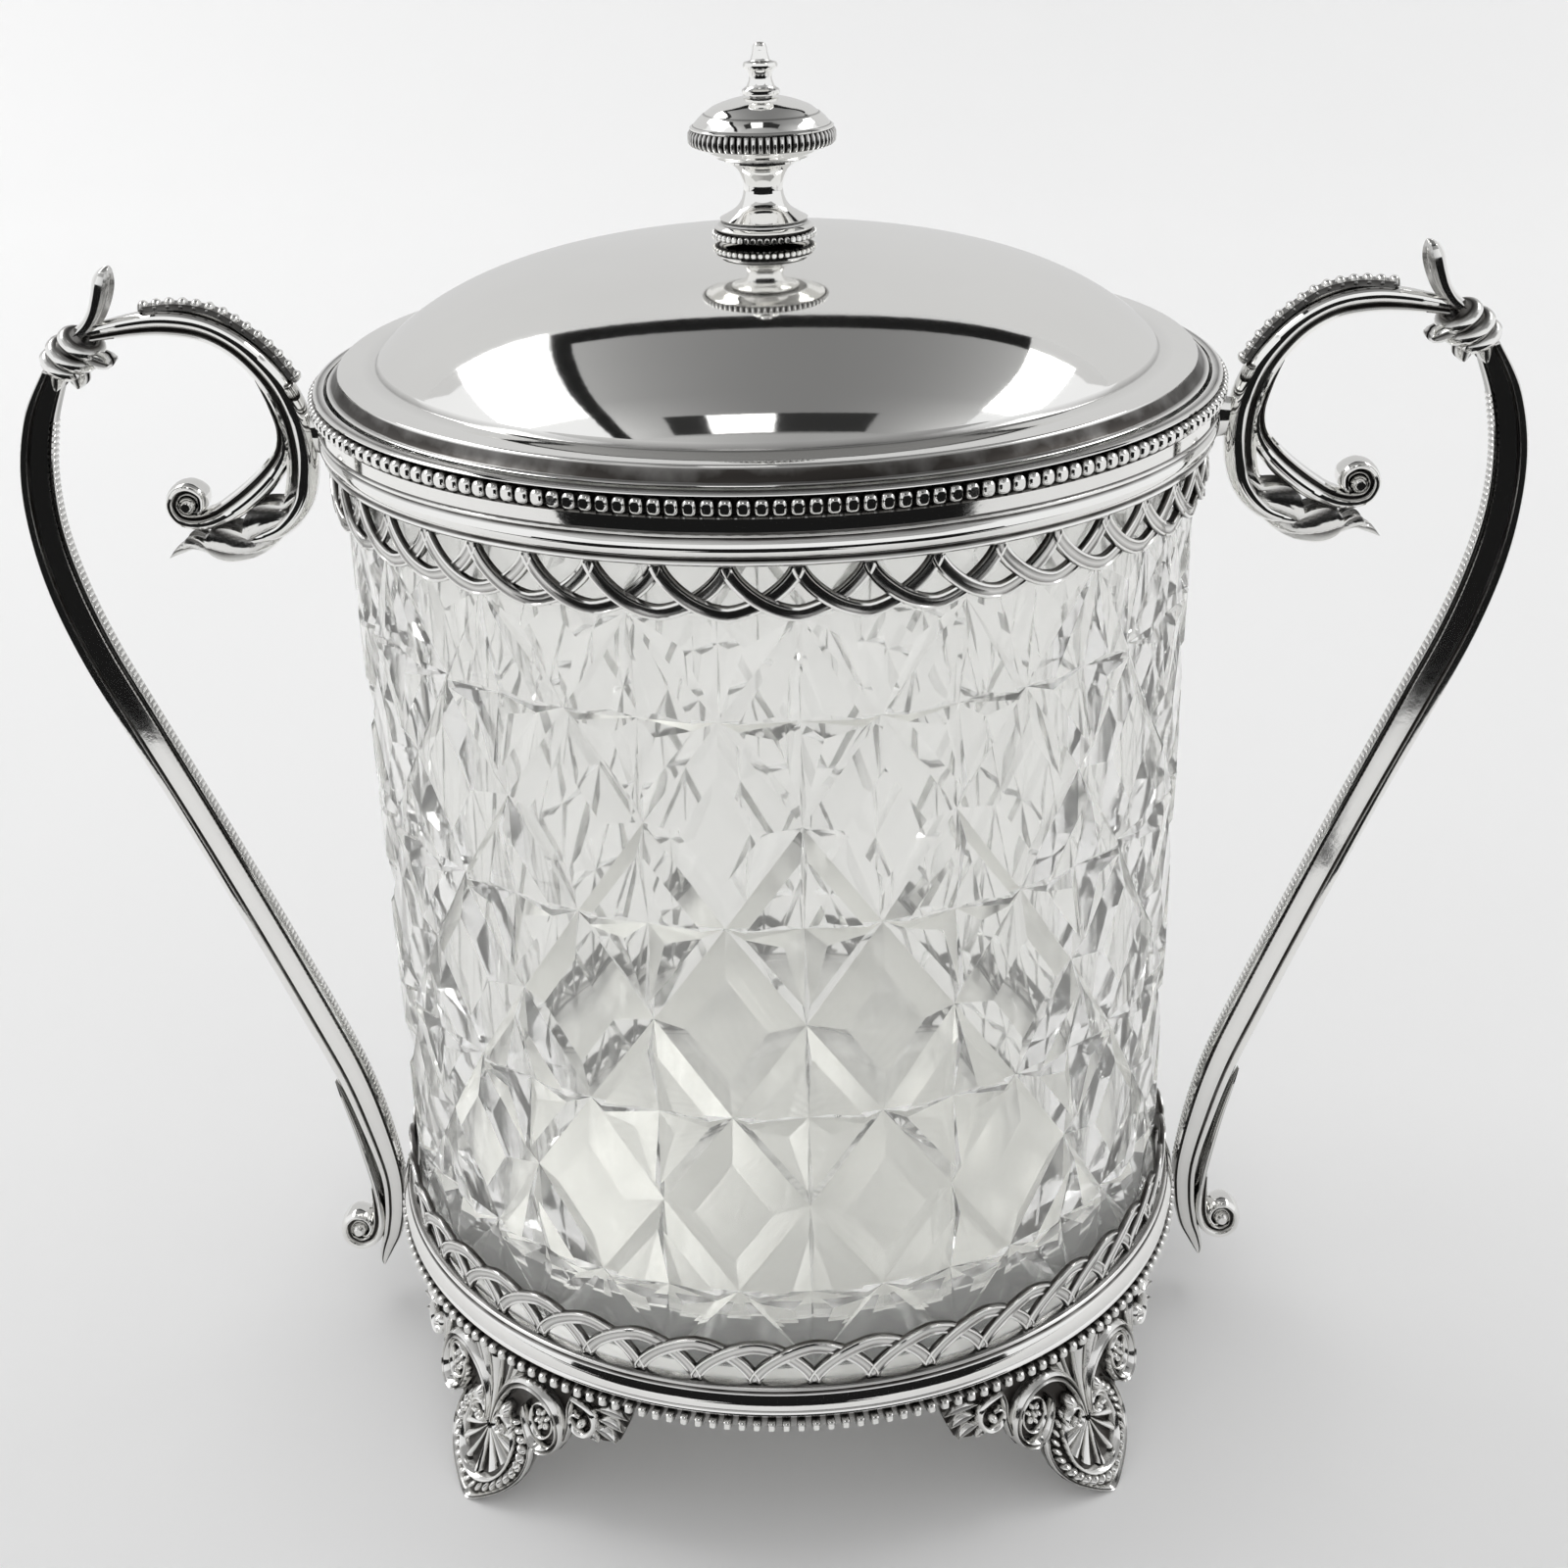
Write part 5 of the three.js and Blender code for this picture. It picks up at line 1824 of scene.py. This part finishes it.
@dataclass
class Foot:
    """One cast foot: a shell in a roped border, roundels with flowers, small volutes and leaf ends."""

    name: str
    angle: float
    bead_circle: float = 70.0
    inset: float = 3.1
    kick: float = 9.2
    kick_power: float = 2.2
    height: float = 25.7
    front: float = 1.5
    back: float = 0.3
    ground: float = 1.3
    boss_root: float = 1.4
    rim_root: float = 1.2
    fan_focus: Pair = (0.0, 12.2)
    fan_reach: float = 7.9
    fan_lean: float = 0.35
    roundel: Pair = (11.0, 17.8)
    roundel_half: Pair = (2.35, 3.1)
    flower_half: Pair = (1.05, 1.4)
    rope_beads: int = 25
    rope_root: float = 1.9

    def place(self, u: float, v: float, w: float) -> Point:
        """Places a point: u along the ring, v above the table, w out from the back of the plate."""
        down = max(0.0, 1 - v / self.height)
        r = self.bead_circle - self.inset + self.kick * down**self.kick_power + w
        turn = math.radians(self.angle) + u / self.bead_circle
        return (r * math.cos(turn), r * math.sin(turn), max(v, 0.0))

    def outline(self) -> list[tuple[float, ...]]:
        """Right-hand lower outline of the plate, from the toe to the leaf end: [u, v] rows."""
        return [
            (0.0, 0.0), (1.4, 0.4), (2.8, 1.1), (4.4, 2.1), (6.2, 3.5), (7.7, 5.0), (8.9, 7.0), (9.4, 9.2),
            (9.5, 11.2), (9.9, 12.4), (11.4, 11.9), (13.0, 12.2), (14.6, 13.4), (15.6, 15.2), (16.4, 17.0),
            (17.8, 17.6), (19.6, 17.6), (21.2, 18.0), (22.6, 17.6), (24.2, 17.9), (25.8, 18.8), (26.6, 20.6),
            (27.4, 22.4), (28.0, 24.2), (28.2, 25.3),
        ]

    def plate(self, sketch: Sketch) -> None:
        """Draws the thin ground plate that the ornament stands on."""
        right = self.outline()
        edge = [*[(-u, v) for u, v in reversed(right[1:])], *right]
        steps = 8
        front, back = [], []
        for u, low in edge:
            heights = [low + (self.height - low) * i / steps for i in range(steps + 1)]
            front.append([(self.place(u, v, self.front), 0.95) for v in heights])
            back.append([(self.place(u, v, self.back), 0.4) for v in heights])
        rows = [[*f, *reversed(b)] for f, b in zip(front, back)]
        sketch.grid(rows, closed_row=True)
        for f, b in ((front[0], back[0]), (front[-1], back[-1])):
            sketch.grid([f, b], closed_row=False)

    def mirrored(self, right: Sequence[Pair], steps: int) -> list[Pair]:
        """Smooth line through points from one shoulder round the toe and their mirror images."""
        return through([*right, *[(-u, v) for u, v in reversed(right[:-1])]], steps)

    def rope_line(self) -> list[Pair]:
        """Line of the roped border, between the egg-shaped rim and the edge."""
        right = [
            (5.2, 14.6), (6.6, 13.0), (7.4, 11.0), (7.5, 9.0), (6.9, 7.0), (5.7, 5.2), (4.1, 3.7),
            (2.1, 2.6), (0.0, 2.1),
        ]
        return self.mirrored(right, steps=72)

    def cartouche(self, sketch: Sketch) -> None:
        """Draws the two rims, the fan of flutes, and the curls and small bosses over it."""
        edge = [
            (6.6, 15.2), (8.2, 13.2), (9.0, 10.6), (8.9, 8.6), (8.3, 6.8), (7.1, 5.1), (5.6, 3.6),
            (3.8, 2.3), (2.0, 1.2), (0.0, 0.4),
        ]
        outer = [(u, v, 0.4) for u, v in self.mirrored(edge, steps=72)]
        strip(sketch, self.place, outer, (self.rim_root, 2.6), groove=0.3)
        rim = [
            (2.6, 14.6), (4.2, 13.8), (5.3, 12.2), (5.8, 10.2), (5.6, 8.1), (4.9, 6.3), (3.6, 4.8),
            (1.9, 3.9), (0.0, 3.6),
        ]
        inner = [(u, v, 0.42) for u, v in self.mirrored(rim, steps=72)]
        strip(sketch, self.place, inner, (self.rim_root, 3.4))
        focus = self.fan_focus
        for k in range(-4, 5):
            lean = k * self.fan_lean
            reach = self.fan_reach - 0.62 * abs(k)
            path = []
            for i in range(9):
                t = 0.12 + 0.88 * i / 8
                bend = lean * (1 + 0.12 * t)
                u, v = focus[0] + reach * t * math.sin(bend), focus[1] - reach * t * math.cos(bend)
                path.append((u, v, 0.14 + 0.58 * t))
            strip(sketch, self.place, path, (self.ground, 3.0))
        for side in (-1, 1):
            curl = [
                (4.9, 12.8, 0.3), (4.7, 14.1, 0.45), (3.4, 15.0, 0.5), (2.0, 14.8, 0.5), (1.2, 13.6, 0.5),
                (1.6, 12.3, 0.45), (2.7, 12.0, 0.4), (3.3, 12.8, 0.3), (2.8, 13.5, 0.2),
            ]
            here = [(side * u, v, w) for u, v, w in curl]
            strip(sketch, self.place, through(here, steps=36), (self.ground, 3.7))
            blob(sketch, self.place, (side * 3.3, 16.3), (1.1, 1.2), (self.boss_root, 4.2), sides=14)

    def wing(self, sketch: Sketch, side: int) -> None:
        """Draws the ornament to one side of the cartouche.

        Args:
            sketch: the drawing that it goes into.
            side: 1 or -1.
        """

        def line(rows: Sequence[Sequence[float]], steps: int) -> list[tuple[float, ...]]:
            """Smooth path on this side of the foot."""
            return through([(side * u, v, w) for u, v, w in rows], steps)

        petal = [(0.5, 13.4, 0.25), (1.2, 16.6, 0.5), (2.5, 20.0, 0.85), (4.4, 25.1, 1.3)]
        strip(sketch, self.place, line(petal, steps=20), (self.ground, 3.0), groove=0.3)
        sweep_line = [
            (0.7, 12.9, 0.35), (1.0, 15.4, 0.6), (1.9, 18.2, 0.9), (4.0, 21.2, 1.2), (7.2, 23.3, 1.3),
            (10.4, 23.2, 1.2), (13.0, 21.4, 1.1), (14.5, 18.6, 1.05), (14.7, 15.9, 1.0), (13.4, 13.7, 0.9),
            (11.3, 12.9, 0.85), (9.5, 13.6, 0.75), (8.2, 15.4, 0.65), (7.4, 17.6, 0.5), (7.4, 19.3, 0.25),
        ]
        strip(sketch, self.place, line(sweep_line, steps=70), (self.ground, 3.9), groove=0.35)
        across, up = self.roundel
        half, tall = self.roundel_half
        ring = []
        sides, petals = 28, 6
        for i in range(sides):
            a = 2 * math.pi * i / sides
            ring.append((side * (across + half * math.cos(a)), up + tall * math.sin(a), 0.32))
        strip(sketch, self.place, ring, (self.ground, 3.2), closed=True)
        half, tall = self.flower_half
        for i in range(petals):
            a = 2 * math.pi * i / petals + 0.3
            middle = (side * (across + half * math.cos(a)), up + tall * math.sin(a))
            turn = a if side > 0 else math.pi - a
            blob(sketch, self.place, middle, (0.7, 0.48), (self.boss_root, 3.1), turn=turn, sides=8)
        blob(sketch, self.place, (side * across, up), (0.5, 0.55), (self.boss_root, 3.5), sides=8)
        bar = [(15.6, 15.6, 0.4), (16.3, 19.0, 0.65), (16.4, 22.2, 0.7), (17.4, 25.0, 0.55)]
        strip(sketch, self.place, line(bar, steps=16), (self.ground, 3.0), groove=0.35)
        curl = [
            (17.6, 25.0, 0.5), (19.6, 24.3, 0.65), (21.3, 22.7, 0.75), (21.4, 20.3, 0.7),
            (19.9, 18.6, 0.65), (17.9, 18.9, 0.6), (17.0, 20.6, 0.5), (17.7, 21.9, 0.4),
            (19.0, 21.9, 0.3),
        ]
        strip(sketch, self.place, line(curl, steps=44), (self.ground, 3.6))
        blob(sketch, self.place, (side * 19.1, 20.5), (0.85, 0.85), (self.boss_root, 3.7), sides=12)
        for start, end, wide in (
            ((20.0, 18.6), (22.4, 18.1), 0.8),
            ((21.8, 20.4), (25.6, 18.9), 1.1),
            ((22.4, 22.4), (26.9, 21.3), 1.15),
            ((21.8, 24.3), (27.9, 23.9), 1.2),
        ):
            middle = ((start[0] + end[0]) / 2, (start[1] + end[1]) / 2 + 0.2, wide)
            lobe = [(start[0], start[1], 0.3), middle, (*end, 0.15)]
            strip(sketch, self.place, line(lobe, steps=10), (self.ground, 2.9), groove=0.35)

    def gadroons(self, tools: Tools, finish: bpy.types.Material) -> bpy.types.Object:
        """Builds the roped border of the cartouche.

        Args:
            tools: the repeaters.
            finish: its material.

        Returns:
            The border.
        """
        bead = Sketch()
        blob(bead, level_ground, (0.0, 0.0), (1.1, 0.5), (-0.5, 1.15), turn=0.9, sides=10)
        path = []
        for u, v in self.rope_line():
            a, b = self.place(u, v, self.rope_root), self.place(u, v, self.rope_root + 1)
            out = tuple(q - p for p, q in zip(a, b))
            path.append((a, out, 1.0))
        return tools.path.along(path, bead, self.rope_beads, finish, self.name + "_rope")

    def build(self, tools: Tools, finishes: Finishes) -> bpy.types.Object:
        """Builds and dresses the foot.

        Args:
            tools: the repeaters.
            finishes: the jar's materials.

        Returns:
            The foot.
        """
        sketch = Sketch()
        self.plate(sketch)
        self.cartouche(sketch)
        petal = [(0.0, 12.4, 0.3), (0.0, 17.5, 0.7), (0.0, 21.0, 1.0), (0.0, 25.1, 1.4)]
        strip(sketch, self.place, through(petal, steps=20), (self.ground, 3.2))
        self.wing(sketch, 1)
        self.wing(sketch, -1)
        casting = sketch.object(self.name + "_casting", sharp=42.0)
        whole = joined([casting, self.gadroons(tools, finishes.cast)], self.name)
        return dressed(whole, finishes.cast, Body.FRAME, Slot.SILVER, [self.name])


# Studio and camera


@dataclass(frozen=True)
class CameraView:
    """The photograph's viewing angle: sizes in millimetres, angles in radians, clipping in metres."""

    distance: float = 327.676
    height: float = 258.744
    pan: float = 0.003
    pitch: float = -0.438
    roll: float = -0.024
    turn: float = 0.020
    lens: float = 48.598
    sensor: float = 36.0
    nearest: float = 0.01
    farthest: float = 20.0

    def build(self) -> bpy.types.Object:
        """Places the camera and makes it the scene's own.

        Returns:
            The camera.
        """
        level = math.cos(self.pitch)
        ahead = Vector((math.sin(self.pan) * level, math.cos(self.pan) * level, math.sin(self.pitch)))
        right = ahead.cross(Vector((0, 0, 1))).normalized()
        up = right.cross(ahead)
        tilted_right = right * math.cos(self.roll) + up * math.sin(self.roll)
        tilted_up = -right * math.sin(self.roll) + up * math.cos(self.roll)
        spin = Matrix.Rotation(self.turn, 3, "Z")
        columns = [spin @ tilted_right, spin @ tilted_up, spin @ -ahead]
        place = spin @ Vector((0, -self.distance, self.height)) * MM
        data = bpy.data.cameras.new("photo_view")
        data.sensor_width = self.sensor
        data.lens = self.lens
        data.clip_start, data.clip_end = self.nearest, self.farthest
        camera = bpy.data.objects.new("photo_view", data)
        camera.matrix_world = Matrix.Translation(place) @ Matrix(columns).transposed().to_4x4()
        bpy.context.scene.collection.objects.link(camera)
        bpy.context.scene.camera = camera
        return camera


@dataclass
class Studio:
    """A pale sweep, three soft lamps, and black, grey and pale cards that only mirrors see."""

    floor_colour: float = 0.9
    floor_cloud: float = 0.985
    cloud_scale: float = 6.0
    floor_height: float = -0.02
    floor_front: float = -900.0
    floor_back: float = 1100.0
    floor_half: float = 2200.0
    bend: float = 500.0
    backdrop_top: float = 1900.0
    world_strength: float = 0.7
    camera_white: float = 0.92
    dark: float = 0.01
    black: float = 0.012
    card_height: float = 1.0

    def sweep(self) -> bpy.types.Object:
        """Builds the pale floor that rises into a backdrop.

        Returns:
            The sweep.
        """
        material, graph = new_material("pale_sweep")
        place = graph.add("ShaderNodeTexCoord").outputs["Object"]
        pale, paler = self.floor_colour * self.floor_cloud, self.floor_colour
        cloud = graph.noise(place, self.cloud_scale, detail=2.0)
        grey = graph.mixed(cloud, (paler, paler, paler, 1), (pale, pale, pale, 1))
        matt = graph.add("ShaderNodeBsdfDiffuse", None, {"Color": grey})
        graph.add("ShaderNodeOutputMaterial", None, {"Surface": matt.outputs[0]})
        sketch = Sketch()
        line = [(self.floor_front, self.floor_height), (self.floor_back, self.floor_height)]
        for i in range(1, 13):
            angle = math.pi / 2 * i / 12
            line.append((self.floor_back + self.bend * math.sin(angle), self.bend * (1 - math.cos(angle))))
        line.append((self.floor_back + self.bend, self.backdrop_top))
        rows = [[((x, y, z), 0.0) for y, z in line] for x in (-self.floor_half, self.floor_half)]
        sketch.grid(rows, closed_row=False)
        floor = sketch.object("sweep", closed=False)
        floor.data.materials.append(material)
        floor.data.shade_smooth()
        return floor

    def card(
        self,
        name: str,
        corners: Sequence[Point],
        strength: float,
        second: float = 0.0,
        shade: Shade | None = None,
    ) -> bpy.types.Object:
        """Hangs a card that only mirrors see.

        Args:
            name: its name.
            corners: its four corners in millimetres.
            strength: how bright it looks, 0 for black.
            second: how bright it looks where the shade is 1.
            shade: turns a place, in metres along X and Y, into 0 to 1; left out for an even card.

        Returns:
            The card.
        """
        material, graph = new_material(name)
        glow = graph.add("ShaderNodeEmission", None, {"Color": (1, 1, 1, 1), "Strength": strength})
        if shade:
            place = graph.add("ShaderNodeTexCoord").outputs["Object"]
            apart = graph.add("ShaderNodeSeparateXYZ", None, {0: place})
            amount = shade(graph.value(apart, "X"), graph.value(apart, "Y")).limited()
            other = graph.add("ShaderNodeEmission", None, {"Color": (1, 1, 1, 1), "Strength": second})
            glow = graph.add(
                "ShaderNodeMixShader", None, {0: amount, 1: glow.outputs[0], 2: other.outputs[0]}
            )
        graph.add("ShaderNodeOutputMaterial", None, {"Surface": glow.outputs[0]})
        sketch = Sketch()
        sketch.face(corners)
        card = sketch.object(name, closed=False)
        card.data.materials.append(material)
        card.visible_camera = False
        card.visible_diffuse = False
        card.visible_shadow = False
        card.visible_transmission = False
        return card

    def level(self, left: float, right: float, front: float, back: float, height: float) -> list[Point]:
        """Corners of a level rectangle, in millimetres."""
        return [(left, front, height), (right, front, height), (right, back, height), (left, back, height)]

    def upright(self, half: float, away: float, top: float) -> list[Point]:
        """Corners of a wall that stands across the view, from the table up, in millimetres."""
        return [(-half, away, 0), (half, away, 0), (half, away, top), (-half, away, top)]

    def lamp(self, name: str, place: Point, aim: Point, size: Pair, power: float) -> bpy.types.Object:
        """Places one soft lamp.

        Args:
            name: its name.
            place: where it stands, in millimetres.
            aim: what it points at.
            size: its two sides, in millimetres.
            power: its power, in watts.

        Returns:
            The lamp.
        """
        data = bpy.data.lights.new(name, "AREA")
        data.shape = "RECTANGLE"
        data.size, data.size_y = size[0] * MM, size[1] * MM
        data.energy = power
        lamp = bpy.data.objects.new(name, data)
        spot, target = Vector(place) * MM, Vector(aim) * MM
        lamp.location = spot
        lamp.rotation_euler = (target - spot).to_track_quat("-Z", "Y").to_euler()
        bpy.context.scene.collection.objects.link(lamp)
        return lamp

    def world(self) -> None:
        """Sets the surroundings: a soft grey light, near-white where the camera, metal or glass sees it."""
        world = bpy.data.worlds.new("studio")
        world.use_nodes = True
        world.node_tree.nodes.clear()
        graph = Graph(world.node_tree)
        path = graph.add("ShaderNodeLightPath")
        bent = graph.value(path, "Is Transmission Ray") + graph.value(path, "Is Glossy Ray")
        seen = (graph.value(path, "Is Camera Ray") + bent).limited()
        light = graph.add(
            "ShaderNodeBackground", None, {"Color": (1, 1, 1, 1), "Strength": self.world_strength}
        )
        shown = graph.add(
            "ShaderNodeBackground", None, {"Color": (0.985, 0.99, 1, 1), "Strength": self.camera_white}
        )
        both = graph.add("ShaderNodeMixShader", None, {0: seen, 1: light.outputs[0], 2: shown.outputs[0]})
        graph.add("ShaderNodeOutputWorld", None, {"Surface": both.outputs[0]})
        bpy.context.scene.world = world

    def build(self) -> None:
        """Builds the whole studio."""
        self.world()
        self.sweep()
        self.lamp("left_window", (-1080, 850, 1500), (-1080, 850, 0), (680, 1500), power=9.0)
        self.lamp("right_window", (1180, 740, 1500), (1180, 740, 0), (470, 1150), power=5.4)
        self.lamp("small_window", (-100, -150, 1460), (-100, -150, 0), (250, 270), power=0.35)
        for name, left, right, front, back in (
            ("dark_floor", -1500, 1500, -1800, -400),
            ("dark_left", -400, -190, -400, -240),
            ("dark_middle", -92, 92, -400, -240),
            ("dark_right", 190, 400, -400, -240),
        ):
            self.card(name, self.level(left, right, front, back, self.card_height), self.dark)
        self.card("dark_front", self.upright(half=1500, away=-1000, top=330), self.black)

        def outwards(x: Value, y: Value) -> Value:
            """Grows from the middle to the sides, and more so towards the front."""
            aside = (x - 0.12) / 0.73
            return aside * aside * (((0.3 - y) / 0.5).limited() * 0.55 + 0.45)

        def leftwards(x: Value, y: Value) -> Value:
            """Grows towards the left, alike from front to back."""
            return (0.15 - x) / 0.9

        for name, left, right, front, back, height, strength, second, shade in (
            ("ceiling", -640, 950, -900, 1300, 1520, 0.21, 0.6, outwards),
            ("ceiling_front", -1500, 1500, -1500, -320, 1510, 0.36, 0.58, leftwards),
            ("ceiling_edge", -740, 960, -900, 1640, 1530, self.black, 0.0, None),
            ("edge_line", -1600, 1600, 1600, 1680, 1495, self.black, 0.0, None),
            ("lamp_shade", -400, 420, -290, -10, 1490, 0.03, 0.0, None),
        ):
            self.card(name, self.level(left, right, front, back, height), strength, second, shade)
        self.card("grey_back", self.upright(half=1800, away=1150, top=1120), strength=0.66)
        bpy.context.scene.view_settings.view_transform = "Standard"


def main() -> None:
    """Builds the camera, the studio and the jar's sub-assemblies in order."""
    logging.basicConfig(level=logging.INFO, format="%(name)s %(message)s")
    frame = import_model()
    CameraView().build()
    Studio().build()
    finishes = Finishes(
        polished=SilverFinish("polished_silver", roughness=0.03, wave_bump=0.04, cast_bump=0.02).build(),
        moulded=SilverFinish("moulded_silver", roughness=0.03, wave_bump=0.08).build(),
        cast=SilverFinish(
            "cast_silver", roughness=0.06, cast_bump=0.14, cast_grain=900.0, wave_bump=0.25, wave_scale=260.0
        ).build(),
        plain=SilverFinish("plain_silver", roughness=0.38, shade_and_tarnish_strength=0.4).build(),
        glass=GlassFinish("cut_glass_clear").build(),
    )
    tools = Tools(RoundRepeater(), PathRepeater())
    Bands().build(tools, finishes)
    GlassLiner().build(tools, finishes)
    Lid().build(finishes)
    Finial().build(tools, finishes)
    for side in (-1, 1):
        Handle(side).build(tools, finishes)
    for name, angle in (
        ("foot_front_right", -46),
        ("foot_front_left", -134),
        ("foot_back_right", 46),
        ("foot_back_left", 134),
    ):
        Foot(name, angle).build(tools, finishes)
    for name in ("finial_stud", "finial_washer", "finial_nut"):
        node = frame["nodes"][name]
        node.data.materials.clear()
        node.data.materials.append(finishes.plain)
        LOG.info("%s: the CAD solid, dressed", name)


if __name__ == "__main__":
    main()
